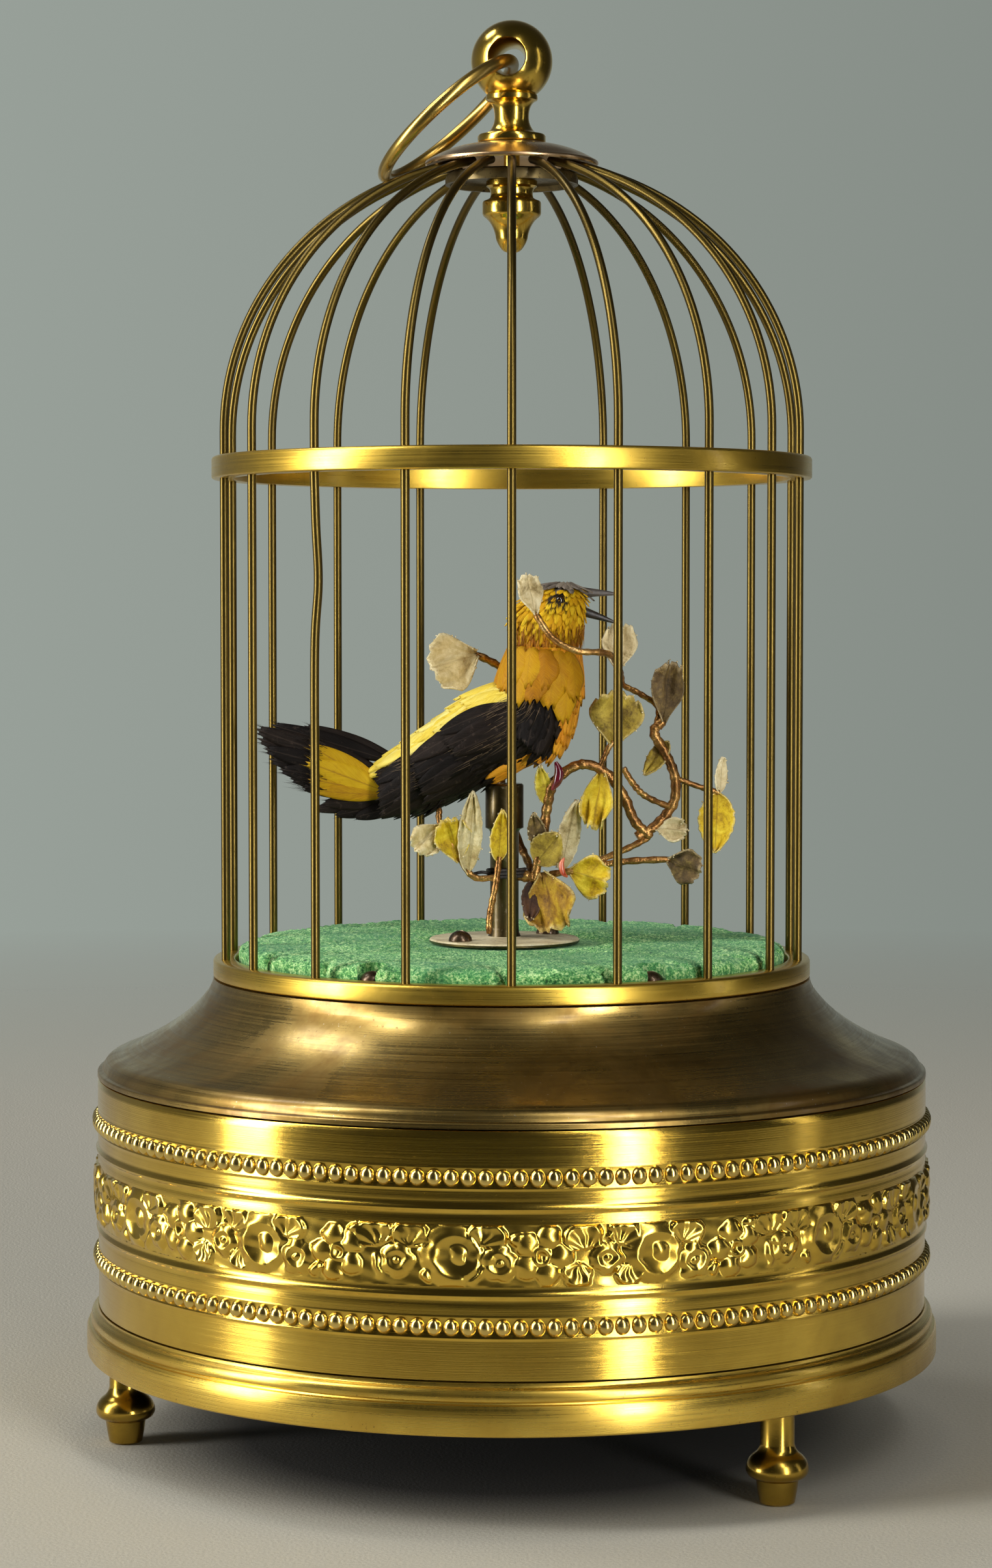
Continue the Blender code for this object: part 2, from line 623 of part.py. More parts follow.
def build_floor():
    board_radius = RING_INNER - GAP
    felt_radius = RING_INNER - 2 * GAP
    board = turned("floor_board", [(0.0, BOARD_LOW), (board_radius, BOARD_LOW),
                                   (board_radius, BOARD_TOP), (0.0, BOARD_TOP)], "pine", 24)
    pressed = STAND_FLANGE_RADIUS + 0.0020 - STAND_X
    puffed = FELT_TOP + FELT_PUFF
    edge = bezier((felt_radius - 0.0045, puffed), (felt_radius + 0.0004, puffed),
                  (felt_radius, FELT_LOW + 0.0018), 3)
    felt = turned("felt_floor", [(0.0, FELT_LOW), (felt_radius - 0.0005, FELT_LOW)] + edge[::-1]
                  + [(felt_radius * 0.55, puffed), (pressed, FELT_TOP), (0.0, FELT_TOP)],
                  "green_velvet", RING_SEGMENTS)

    shank_low = BOARD_LOW + GAP
    shank_drills = bmesh.new()
    for sign, name in ((-1, "flange_screw_front"), (1, "flange_screw_back")):
        x = STAND_X + sign * FLANGE_SCREW[0]
        y = sign * FLANGE_SCREW[1]
        screw(name, x, y, STAND_TOP + GAP, shank_low)
        bmesh.ops.create_cone(shank_drills, cap_ends=True, segments=8,
                              radius1=SCREW_SHANK_RADIUS + RUNNING, radius2=SCREW_SHANK_RADIUS + RUNNING,
                              depth=DRILL_DEPTH, matrix=Matrix.Translation((x, y, FELT_LOW)))
    bmesh.ops.create_cone(shank_drills, cap_ends=True, segments=8, radius1=ROD_RADIUS + RUNNING,
                          radius2=ROD_RADIUS + RUNNING, depth=DRILL_DEPTH,
                          matrix=Matrix.Translation((STAND_X, 0.0, FELT_LOW)))
    floor_shanks = bmesh.new()
    pockets = bmesh.new()
    head_low = FELT_TOP - SCREW_SUNK
    for sign, name in ((-1, "floor_screw_left"), (1, "floor_screw_right")):
        x, y = around(FLOOR_SCREW_CIRCLE, -90.0 + sign * FLOOR_SCREW_ANGLE)
        screw(name, x, y, head_low, shank_low)
        bmesh.ops.create_cone(floor_shanks, cap_ends=True, segments=8,
                              radius1=SCREW_SHANK_RADIUS + RUNNING, radius2=SCREW_SHANK_RADIUS + RUNNING,
                              depth=DRILL_DEPTH, matrix=Matrix.Translation((x, y, FELT_LOW)))
        bmesh.ops.create_cone(pockets, cap_ends=True, segments=10, radius1=SCREW_HEAD_RADIUS + GAP,
                              radius2=SCREW_HEAD_RADIUS + GAP, depth=0.01,
                              matrix=Matrix.Translation((x, y, head_low - GAP + 0.005)))
    drill = add_mesh("shank_drill", shank_drills, None)
    floor_drill = add_mesh("floor_shank_drill", floor_shanks, None)
    pocket = add_mesh("screw_pocket", pockets, None)
    for sheet in (board, felt):
        cut(sheet, drill)
        cut(sheet, floor_drill)
    cut(felt, pocket)

    bore = ROD_RADIUS + RUNNING
    stand = turned("bird_stand",
                   [(bore, STAND_LOW), (STAND_FLANGE_RADIUS, STAND_LOW),
                    (STAND_FLANGE_RADIUS, STAND_TOP - 0.0003), (STAND_FLANGE_RADIUS - 0.0004, STAND_TOP),
                    (POST_RADIUS + 0.0012, STAND_TOP), (POST_RADIUS, STAND_TOP + 0.0012),
                    (POST_RADIUS, POST_TOP), (SOCKET_RADIUS, POST_TOP + 0.0004),
                    (SOCKET_RADIUS, SOCKET_TOP), (bore, SOCKET_TOP)],
                   "dark_brass", 20, hollow=True)
    stand.location.x = STAND_X
    cut(stand, drill)


# Bird: cross-sections from the tail root to the neck, as the points on the back
# and on the belly (x from the stand's axis, and height above the socket), and half
# the width
BODY_SECTIONS = [
    ((-0.0208, 0.0055), (-0.0208, -0.0024), 0.0032),
    ((-0.0178, 0.0079), (-0.0156, -0.0048), 0.0058),
    ((-0.0091, 0.0140), (-0.0071, -0.0018), 0.0082),
    ((-0.0031, 0.0180), (0.0044, 0.0040), 0.0090),
    ((0.0005, 0.0201), (0.0112, 0.0082), 0.0090),
    ((0.0010, 0.0238), (0.0141, 0.0176), 0.0082),
    ((0.0016, 0.0258), (0.0141, 0.0255), 0.0068),
]
NECK_UP = 0.0262          # socket top to the neck joint
NECK_X = STAND_X + 0.00795


def body_rings(grow, sides=12):
    rings = []
    for back, belly, half_width in BODY_SECTIONS:
        top = Vector((STAND_X + back[0], 0.0, SOCKET_TOP + back[1]))
        bottom = Vector((STAND_X + belly[0], 0.0, SOCKET_TOP + belly[1]))
        middle = (top + bottom) / 2
        half = (top - bottom) / 2
        half = half.normalized() * (half.length + grow)
        ring = []
        for k in range(sides):
            turn = math.tau * (k + 0.5) / sides
            ring.append(middle + half * math.cos(turn)
                        + Vector((0.0, (half_width + grow) * math.sin(turn), 0.0)))
        rings.append(ring)
    return rings


def build_bird():
    body = lofted("bird_body", body_rings(0.0), "orange_feather")
    cut(body, rod("socket_room", SOCKET_RADIUS + GAP, (STAND_X, 0, POST_TOP),
                  (STAND_X, 0, SOCKET_TOP + GAP), segments=16))
    cut(body, rod("neck_plane", 3 * HEAD_RADIUS, (NECK_X, 0, SOCKET_TOP + NECK_UP - GAP),
                  (NECK_X, 0, SOCKET_TOP + NECK_UP + 3 * HEAD_RADIUS), segments=16))

    neck = SOCKET_TOP + NECK_UP
    levels = [(0.0, NECK_X - 0.0003, 0.92), (0.0022, NECK_X - 0.0001, 1.0),
              (0.0052, NECK_X + 0.0003, 1.0), (0.0082, NECK_X + 0.0012, 0.85),
              (0.0105, NECK_X + 0.0026, 0.52), (0.0116, NECK_X + 0.0034, 0.18)]
    rings = []
    for up, x, share in levels:
        radius = HEAD_RADIUS * share
        rings.append([(x + radius * math.cos(math.tau * k / 12),
                       0.94 * radius * math.sin(math.tau * k / 12), neck + up) for k in range(12)])
    head = lofted("bird_head", rings, "orange_feather")
    root_x = NECK_X + HEAD_RADIUS - 0.0008
    upper = []
    for share, half_high, half_wide, drop in ((0.0, 0.0017, 0.0018, 0.0), (0.55, 0.0011, 0.0012, 0.0003),
                                              (1.0, 0.0003, 0.0003, 0.0011)):
        x = root_x + BEAK_LENGTH * share
        z = neck + 0.0084 - drop
        upper.append([(x, half_wide * math.cos(math.tau * k / 6), z + half_high * math.sin(math.tau * k / 6))
                      for k in range(6)])
    fuse(head, lofted("upper_beak_horn", upper, None))

    pivot = Vector((NECK_X + HEAD_RADIUS + GAP + 0.0003, 0.0, neck + 0.0054))
    lower = []
    for share, half_high, half_wide, drop in ((0.0, 0.0010, 0.0015, 0.0), (0.5, 0.0008, 0.0011, 0.0010),
                                              (1.0, 0.0003, 0.0003, 0.0022)):
        lower.append([(BEAK_LENGTH * 0.86 * share, half_wide * math.cos(math.tau * k / 6),
                       half_high * math.sin(math.tau * k / 6) - drop) for k in range(6)])
    beak = lofted("lower_beak", lower, "grey_horn")
    beak.location = pivot

    # Wings lie on the body's sides, hollowed by a slightly larger body
    room = lofted("wing_room", body_rings(GAP), None)
    for sign, name in ((-1, "wing_right"), (1, "wing_left")):
        rings = []
        for along, half_high, out in ((-0.50, 0.041, 0.028), (-0.25, 0.131, 0.069), (0.0, 0.179, 0.103),
                                      (0.28, 0.166, 0.097), (0.46, 0.069, 0.048)):
            half_high *= WING_LENGTH
            out *= WING_LENGTH
            x = STAND_X - WING_BACK + WING_LENGTH * along * 0.86
            z = SOCKET_TOP + WING_UP + WING_LENGTH * along * 0.50
            y = sign * (WING_OUT + WING_FLARE * (along + 0.45) / 0.9)
            rings.append([(x - half_high * 0.5 * math.cos(math.tau * k / 10),
                           y + out * math.sin(math.tau * k / 10),
                           z + half_high * 0.86 * math.cos(math.tau * k / 10)) for k in range(10)])
        wing = lofted(name, rings, "black_feather")
        cut(wing, room)

    # Tail: a fan of feathers that starts just behind the body
    root = STAND_X + BODY_SECTIONS[0][0][0] - 3 * GAP
    tail = []
    for share, low, high, half_wide in ((0.0, -0.124, 0.215, 0.099), (0.30, -0.273, 0.339, 0.124),
                                        (0.62, -0.124, 0.409, 0.132), (1.0, 0.215, 0.463, 0.091)):
        middle = TAIL_LENGTH * (low + high) / 2
        half_high = TAIL_LENGTH * (high - low) / 2 / math.cos(math.pi / 8)
        tail.append([(-TAIL_LENGTH * share,
                      TAIL_LENGTH * half_wide * math.cos(math.tau * (k + 0.5) / 8),
                      middle + half_high * math.sin(math.tau * (k + 0.5) / 8)) for k in range(8)])
    fan = lofted("bird_tail", tail, "black_feather")
    fan.location = (root, 0.0, SOCKET_TOP)


# The spray, hand placed round the post and the bird: all points are measured from the
# middle of the stand's flange, on its top. A stem has a share of the wire's radius.
STEMS = {
    "arch": (0.8, [(0.0055, -0.0010, 0.0108), (0.0072, -0.0012, 0.0186), (0.0080, -0.0020, 0.0246),
                   (0.0094, -0.0034, 0.0296), (0.0140, -0.0036, 0.0328), (0.0186, -0.0030, 0.0316),
                   (0.0222, -0.0022, 0.0272), (0.0245, -0.0014, 0.0221), (0.0276, -0.0008, 0.0190)]),
    "right_bough": (1.1, [(0.0249, -0.0010, 0.0190), (0.0285, -0.0006, 0.0213), (0.0318, -0.0002, 0.0254),
                          (0.0321, 0.0000, 0.0302), (0.0304, 0.0004, 0.0346), (0.0282, 0.0008, 0.0387),
                          (0.0299, 0.0006, 0.0409)]),
    "speckled_twig": (0.7, [(0.0222, -0.0048, 0.0322), (0.0243, -0.0040, 0.0290), (0.0266, -0.0030, 0.0268),
                            (0.0313, -0.0004, 0.0246)]),
    "outer_twig": (0.7, [(0.0319, 0.0000, 0.0302), (0.0369, 0.0008, 0.0284), (0.0406, 0.0010, 0.0273)]),
    "low_twig": (0.7, [(0.0055, -0.0012, 0.0116), (0.0134, -0.0014, 0.0128), (0.0220, -0.0012, 0.0144),
                       (0.0312, -0.0010, 0.0149)]),
    "slant_twig": (0.7, [(0.0134, -0.0014, 0.0130), (0.0220, -0.0010, 0.0164), (0.0273, -0.0008, 0.0190)]),
    "flower_stem": (0.7, [(0.0282, 0.0008, 0.0385), (0.0290, 0.0020, 0.0432), (0.0258, 0.0030, 0.0458),
                          (0.0222, 0.0040, 0.0478), (0.0214, 0.0052, 0.0506)]),
    "neck_twig": (0.7, [(0.0222, 0.0040, 0.0476), (0.0215, -0.0020, 0.0506), (0.0193, -0.0080, 0.0536),
                        (0.0134, -0.0108, 0.0542), (0.0089, -0.0106, 0.0566), (0.0057, -0.0102, 0.0611)]),
    "fan_stem": (0.7, [(0.0179, -0.0034, 0.0322), (0.0193, -0.0040, 0.0356), (0.0204, -0.0040, 0.0372)]),
    "back_stem": (0.7, [(0.0052, -0.0006, 0.0116), (0.0047, 0.0026, 0.0136), (0.0024, 0.0080, 0.0186),
                        (-0.0027, 0.0140, 0.0286), (-0.0060, 0.0152, 0.0386), (-0.0076, 0.0100, 0.0468)]),
    "left_twig": (0.7, [(-0.0019, -0.0042, 0.0116), (-0.0058, -0.0040, 0.0118), (-0.0086, -0.0034, 0.0156),
                        (-0.0120, -0.0030, 0.0216), (-0.0122, -0.0026, 0.0246)]),
    "front_twig": (0.7, [(-0.0010, -0.0046, 0.0156), (-0.0016, -0.0050, 0.0106), (-0.0027, -0.0052, 0.0051),
                         (-0.0029, -0.0054, 0.0012)]),
}

# Leaves and flowers: where each starts and ends, half its width, and how it is turned
# about its own length (degrees from facing the front)
LEAVES = {
    "cream_fan": ((-0.0075, 0.0104, 0.0462), (-0.0112, 0.0040, 0.0581), 0.0038, 10),
    "lace_flower": ((0.0214, 0.0050, 0.0502), (0.0221, 0.0070, 0.0586), 0.0032, 0),
    "lace_tuft": ((0.0060, -0.0101, 0.0606), (0.0046, -0.0095, 0.0654), 0.0016, 0),
    "dark_leaf": ((0.0298, 0.0006, 0.0406), (0.0313, 0.0010, 0.0512), 0.0032, 20),
    "olive_fan": ((0.0203, -0.0040, 0.0366), (0.0214, -0.0046, 0.0456), 0.0050, 0),
    "lace_leaf": ((0.0404, 0.0010, 0.0272), (0.0410, 0.0012, 0.0340), 0.0016, 50),
    "drooping_leaf": ((0.0403, 0.0010, 0.0274), (0.0397, 0.0000, 0.0160), 0.0034, 10),
    "pale_leaf": ((0.0285, -0.0008, 0.0208), (0.0339, -0.0016, 0.0202), 0.0022, -10),
    "brown_leaf": ((0.0307, -0.0010, 0.0149), (0.0365, -0.0020, 0.0136), 0.0034, 15),
    "lime_leaf": ((0.0184, -0.0030, 0.0320), (0.0168, -0.0050, 0.0216), 0.0026, 20),
    "olive_leaf": ((0.0060, -0.0014, 0.0142), (0.0089, -0.0044, 0.0194), 0.0036, -10),
    "broad_leaf": ((0.0123, -0.0014, 0.0128), (0.0192, -0.0040, 0.0112), 0.0042, 10),
    "round_leaf": ((0.0074, -0.0014, 0.0118), (0.0100, -0.0050, 0.0038), 0.0044, 20),
    "dark_small_leaf": ((0.0055, -0.0012, 0.0110), (0.0047, -0.0044, 0.0034), 0.0018, -10),
    "narrow_leaf": ((0.0106, -0.0014, 0.0126), (0.0134, -0.0030, 0.0262), 0.0020, 15),
    "pod_leaf": ((0.0066, -0.0012, 0.0170), (0.0054, -0.0040, 0.0238), 0.0015, 0),
    "upright_leaf": ((0.0080, -0.0022, 0.0252), (0.0066, -0.0050, 0.0328), 0.0015, 0),
    "cup_leaf": ((-0.0084, -0.0036, 0.0146), (-0.0104, -0.0044, 0.0224), 0.0034, 0),
    "post_leaf": ((-0.0012, -0.0047, 0.0146), (-0.0004, -0.0066, 0.0246), 0.0017, 15),
    "cream_leaf": ((-0.0069, -0.0040, 0.0124), (-0.0058, -0.0062, 0.0281), 0.0021, 0),
    "far_leaf": ((-0.0118, -0.0030, 0.0214), (-0.0164, -0.0036, 0.0170), 0.0024, 0),
}


def on_stand(point):
    return Vector(point) + Vector((STAND_X, 0.0, STAND_TOP))


def leaf_solid(name, base, tip, half_width, turn):
    """A flat pointed leaf, thicker along its midrib."""
    along = tip - base
    side = along.cross(Vector((0, -1, 0))).normalized()
    face = side.cross(along).normalized()
    spin = Matrix.Rotation(math.radians(turn), 3, along.normalized())
    side = spin @ side
    face = spin @ face
    sections = []
    for share, width in ((0.0, 0.16), (0.25, 0.80), (0.55, 1.0), (0.82, 0.62), (1.0, 0.10)):
        middle = base + along * share
        half = side * half_width * width
        thick = face * LEAF_THICKNESS * (0.35 + 0.25 * width)
        sections.append([middle + half, middle + thick, middle - half, middle - thick])
    return lofted(name, sections, None)


def build_foliage():
    tie_outer = POST_RADIUS + GAP + 2 * TIE_WIRE_RADIUS
    low = STAND_TOP + TIE_UP
    tie = turned("foliage", [(POST_RADIUS + GAP, low), (tie_outer, low - 0.0002),
                             (tie_outer + 0.0002, low + 0.0009), (tie_outer, low + 0.0020),
                             (POST_RADIUS + GAP, low + 0.0018)], "leaf_green", 16, hollow=True)
    tie.location.x = STAND_X
    bundle = [on_stand((tie_outer - 0.0004, -0.0004, TIE_UP + 0.0010)),
              on_stand((0.0058, -0.0010, TIE_UP + 0.0002))]
    fuse(tie, stem_solid("bundle", bundle, STEM_RADIUS))
    hook = [on_stand((-0.0012, -tie_outer + 0.0005, TIE_UP + 0.0010)),
            on_stand((-0.0020, -0.0046, TIE_UP + 0.0007))]
    fuse(tie, stem_solid("hook", hook, STEM_RADIUS * 0.9))
    for name, (share, points) in STEMS.items():
        fuse(tie, stem_solid("stem_" + name, [on_stand(point) for point in points],
                             STEM_RADIUS * share))
    for name, (base, tip, half_width, turn) in LEAVES.items():
        fuse(tie, leaf_solid("leaf_" + name, on_stand(base), on_stand(tip), half_width, turn))


def gear_outline(teeth, module, phase, centre):
    """Straight sided teeth, narrower than their spaces so that a pair always runs free."""
    pitch_radius = module * teeth / 2
    tip = pitch_radius + TOOTH_ADDENDUM * module
    root = pitch_radius - TOOTH_DEDENDUM * module
    outline = []
    for tooth in range(teeth):
        for radius, share in ((root, -TOOTH_BASE / 2), (tip, -TOOTH_TIP / 2),
                              (tip, TOOTH_TIP / 2), (root, TOOTH_BASE / 2)):
            angle = phase + math.tau * (tooth + share) / teeth
            outline.append((centre[0] + radius * math.cos(angle), centre[1] + radius * math.sin(angle)))
    return outline


def beside(centre, distance, degrees):
    x, y = around(distance, degrees)
    return centre[0] + x, centre[1] + y


def mesh_distance(teeth, other_teeth, module):
    return module * (teeth + other_teeth) / 2


def facing_phases(teeth, other_teeth, degrees):
    """Phases that put a tooth of the first gear into a space of the second."""
    direction = math.radians(degrees)
    return direction, direction + math.pi + math.pi / other_teeth


def column(name, centre, radius, low, high, finish=None, segments=10):
    return rod(name, radius, (*centre, low), (*centre, high), finish, segments)


def build_movement():
    barrel_axis = beside(CAM_AXIS, mesh_distance(GREAT_TEETH, CAM_PINION_TEETH, DRIVE_MODULE),
                         BARREL_DIRECTION)
    second_axis = beside(CAM_AXIS, mesh_distance(CAM_WHEEL_TEETH, SECOND_PINION_TEETH, FINE_MODULE),
                         SECOND_DIRECTION)
    fan_axis = beside(second_axis, mesh_distance(SECOND_WHEEL_TEETH, FAN_PINION_TEETH, FINE_MODULE),
                      FAN_DIRECTION)
    great_low = BED_TOP + GAP + BARREL_HEIGHT
    great_high = great_low + WHEEL_THICKNESS
    cam_wheel_low = great_high + 0.0020
    cam_wheel_high = cam_wheel_low + WHEEL_THICKNESS
    cams_low = cam_wheel_high + 0.0010
    cams_high = cams_low + CAM_COUNT * CAM_THICKNESS
    fine_low = BED_TOP + 0.0080
    fine_high = fine_low + WHEEL_THICKNESS
    axle_bore = AXLE_RADIUS + RUNNING

    # Closing plate and bed plate, with the fixed studs that carry the wheels
    bottom = turned("bottom_plate", [(0.0, BOTTOM_LOW), (DRUM_RADIUS - WALL - GAP, BOTTOM_LOW),
                                     (DRUM_RADIUS - WALL - GAP, BOTTOM_TOP), (0.0, BOTTOM_TOP)],
                    "dark_brass", SHELL_SEGMENTS)
    bed = turned("movement_plate", [(0.0, BED_LOW), (BED_RADIUS, BED_LOW), (BED_RADIUS, BED_TOP),
                                    (0.0, BED_TOP)], "satin_brass", RING_SEGMENTS)
    cut(bottom, column("arbor_room", barrel_axis, ARBOR_RADIUS + RUNNING, BOTTOM_LOW - WALL, BED_TOP + WALL))
    cut(bed, column("arbor_bearing", barrel_axis, ARBOR_RADIUS + RUNNING, BOTTOM_LOW - WALL, BED_TOP + WALL))
    cut(bottom, column("stop_bearing", STOP_PIVOT, AXLE_RADIUS + RUNNING, BOTTOM_LOW - WALL,
                       BOTTOM_TOP + GAP / 2))
    fuse(bed, column("cam_stud", CAM_AXIS, AXLE_RADIUS, BED_TOP - WALL, cams_high + GAP))
    fuse(bed, column("cam_seat", CAM_AXIS, HUB_RADIUS, BED_TOP - WALL, fine_low - 0.0010, segments=12))
    fuse(bed, column("second_stud", second_axis, AXLE_RADIUS, BED_TOP - WALL, cam_wheel_high + GAP))
    fuse(bed, column("second_seat", second_axis, HUB_RADIUS, BED_TOP - WALL, fine_low - GAP, segments=12))
    fuse(bed, column("fan_stud", fan_axis, AXLE_RADIUS, BED_TOP - WALL,
                     fine_high + FAN_HEIGHT + 3 * GAP))
    fuse(bed, column("fan_seat", fan_axis, HUB_RADIUS, BED_TOP - WALL, fine_low - GAP, segments=12))
    pivot_height = cams_high - CAM_THICKNESS / 2 + CRANK_UP
    fuse(bed, column("crank_post", (CRANK_X, CRANK_POST_Y), CRANK_POST_RADIUS, BED_TOP - WALL,
                     pivot_height + CRANK_POST_RADIUS, segments=12))
    fuse(bed, rod("crank_pin", AXLE_RADIUS, (CRANK_X, CRANK_POST_Y, pivot_height),
                  (CRANK_X, CRANK_THICKNESS / 2 + 0.0006, pivot_height)))

    # Winding key, arbor and spring barrel
    key_top = BOTTOM_LOW - GAP
    arbor_low = key_top - 0.0040
    column("barrel_arbor", barrel_axis, ARBOR_RADIUS, arbor_low, great_high + GAP, "steel")
    key_low = key_top - KEY_HEIGHT
    key = column("winding_key", barrel_axis, KEY_SOCKET_RADIUS, key_top - 0.0062, key_top, "polished_brass")
    bow = []
    for step in range(24):
        angle = math.tau * step / 24
        lobe = 0.55 + 0.45 * abs(math.cos(angle))
        bow.append((KEY_BOW * lobe * math.cos(angle), KEY_HEIGHT * 0.32 * math.sin(angle)))
    blade = plate("key_bow", bow, -0.0009, 0.0009, None)
    blade.rotation_euler.x = math.radians(90.0)
    blade.location = (*barrel_axis, key_low + KEY_HEIGHT * 0.32)
    fuse(key, blade)
    cut(key, column("key_square", barrel_axis, ARBOR_RADIUS + RUNNING / 2, arbor_low - GAP, key_top + WALL))

    great_phase, pinion_phase = facing_phases(GREAT_TEETH, CAM_PINION_TEETH, BARREL_DIRECTION + 180.0)
    barrel = plate("spring_barrel", gear_outline(GREAT_TEETH, DRIVE_MODULE, great_phase, barrel_axis),
                   great_low, great_high, "brushed_brass")
    fuse(barrel, column("spring_drum", barrel_axis, BARREL_RADIUS, BED_TOP + GAP, great_low + WALL / 2,
                        segments=32))
    cut(barrel, column("barrel_bore", barrel_axis, ARBOR_RADIUS + RUNNING, BED_TOP, great_high + WALL))

    # Cam stack: pinion, wheel and cams on one hub
    stack = column("cam_stack", CAM_AXIS, HUB_RADIUS, fine_low - 0.0010 + GAP, cams_high, "brushed_brass")
    fuse(stack, plate("cam_pinion", gear_outline(CAM_PINION_TEETH, DRIVE_MODULE, pinion_phase, CAM_AXIS),
                      great_low - 0.0005, great_high + 0.0005, None))
    wheel_phase, second_phase = facing_phases(CAM_WHEEL_TEETH, SECOND_PINION_TEETH, SECOND_DIRECTION)
    fuse(stack, plate("cam_wheel", gear_outline(CAM_WHEEL_TEETH, FINE_MODULE, wheel_phase, CAM_AXIS),
                      cam_wheel_low, cam_wheel_high, None))
    for order in range(CAM_COUNT):
        lift = 0.0012 * order
        cam = []
        for step in range(20):
            angle = math.tau * step / 20 + order
            dip = 0.5 - 0.5 * math.cos(angle * (2 + order))
            cam.append((CAM_AXIS[0] + (CAM_RADIUS - 0.0030 * dip - lift) * math.cos(angle),
                        CAM_AXIS[1] + (CAM_RADIUS - 0.0030 * dip - lift) * math.sin(angle)))
        low = cams_high - (order + 1) * CAM_THICKNESS
        fuse(stack, plate("cam_%d" % order, cam, low - (0.0002 if order else 0.0), low + CAM_THICKNESS, None))
    cut(stack, column("cam_bore", CAM_AXIS, axle_bore, BED_TOP, cams_high + WALL))

    # Second wheel and governor
    second = plate("second_wheel",
                   gear_outline(SECOND_WHEEL_TEETH, FINE_MODULE, math.radians(FAN_DIRECTION), second_axis),
                   fine_low, fine_high, "brushed_brass")
    fuse(second, column("second_hub", second_axis, HUB_RADIUS * 0.8, fine_high - WALL / 2, cam_wheel_low,
                        segments=12))
    fuse(second, plate("second_pinion",
                       gear_outline(SECOND_PINION_TEETH, FINE_MODULE, second_phase, second_axis),
                       cam_wheel_low - 0.0003, cam_wheel_high, None))
    cut(second, column("second_bore", second_axis, axle_bore, BED_TOP, cam_wheel_high + WALL))
    fan_phase = facing_phases(SECOND_WHEEL_TEETH, FAN_PINION_TEETH, FAN_DIRECTION)[1]
    fan = plate("governor_fan", gear_outline(FAN_PINION_TEETH, FINE_MODULE, fan_phase, fan_axis),
                fine_low, fine_high + 0.0003, "brushed_brass")
    fuse(fan, column("fan_hub", fan_axis, HUB_RADIUS, fine_high, fine_high + FAN_HEIGHT, segments=12))
    half_blade = 0.0004
    for order in range(2):
        blade = plate("fan_blade_%d" % order,
                      [(-FAN_BLADE, -half_blade), (FAN_BLADE, -half_blade),
                       (FAN_BLADE, half_blade), (-FAN_BLADE, half_blade)],
                      fine_high + 0.0015 + 0.0002 * order, fine_high + FAN_HEIGHT - 0.0010 - 0.0002 * order,
                      None)
        blade.location = (*fan_axis, 0.0)
        blade.rotation_euler.z = math.radians(20.0 + 90.0 * order)
        fuse(fan, blade)
    cut(fan, column("fan_bore", fan_axis, axle_bore, BED_TOP, fine_high + FAN_HEIGHT + WALL))

    # Bell crank over the cams, and the rod that it lifts
    foot_x = CAM_AXIS[0] - CAM_RADIUS - GAP
    arm_high = pivot_height + 0.0020
    arm_low = pivot_height - 0.0010
    foot_low = cams_high - CAM_THICKNESS
    outline = [(STAND_X - 0.0025, arm_high - 0.0006), (STAND_X - 0.0025, arm_low + 0.0008),
               (CRANK_X - 0.0040, arm_low), (foot_x - 0.0026, arm_low - 0.0020), (foot_x - 0.0020, foot_low),
               (foot_x, foot_low), (foot_x, pivot_height - 0.0028), (CRANK_X + 0.0028, pivot_height - 0.0010),
               (CRANK_X + 0.0028, pivot_height + 0.0014), (CRANK_X + 0.0014, pivot_height + 0.0028),
               (CRANK_X - 0.0020, pivot_height + 0.0026), (CRANK_X - 0.0060, arm_high)]
    lever = plate("follower_lever", [(x - CRANK_X, z - pivot_height) for x, z in outline],
                  -CRANK_THICKNESS / 2, CRANK_THICKNESS / 2, "steel")
    lever.rotation_euler.x = math.radians(90.0)
    lever.location = (CRANK_X, 0.0, pivot_height)
    bearing = rod("crank_bore", axle_bore, (CRANK_X, -0.01, pivot_height), (CRANK_X, 0.01, pivot_height))
    cut(lever, bearing)
    rod("push_rod", ROD_RADIUS, (STAND_X, 0.0, arm_high - 0.0006 + GAP), (STAND_X, 0.0, SOCKET_TOP - 0.0040),
        "steel")

    build_bellows()

    # Stop lever under the closing plate, with its pin up through it
    stop = column("stop_lever", STOP_PIVOT, AXLE_RADIUS, BOTTOM_LOW - GAP - STOP_THICKNESS / 2,
                  BOTTOM_TOP, "brushed_brass")
    half = STOP_WIDTH / 2
    arm = [(-half, -half), (STOP_LENGTH - STOP_NOSE, -half * 0.7), (STOP_LENGTH, 0.0),
           (STOP_LENGTH - STOP_NOSE, half * 0.7), (-half, half)]
    bar = plate("stop_arm", arm, BOTTOM_LOW - GAP - STOP_THICKNESS, BOTTOM_LOW - GAP, None)
    bar.location = (*STOP_PIVOT, 0.0)
    bar.rotation_euler.z = math.radians(STOP_TURN)
    fuse(stop, bar)
    x, y = around(STOP_LENGTH - 2 * STOP_NOSE, STOP_TURN)
    fuse(stop, column("stop_knob", (STOP_PIVOT[0] + x, STOP_PIVOT[1] + y), STOP_KNOB_RADIUS,
                      BOTTOM_LOW - STOP_KNOB_DROP, BOTTOM_LOW - GAP - STOP_THICKNESS / 2, segments=12))


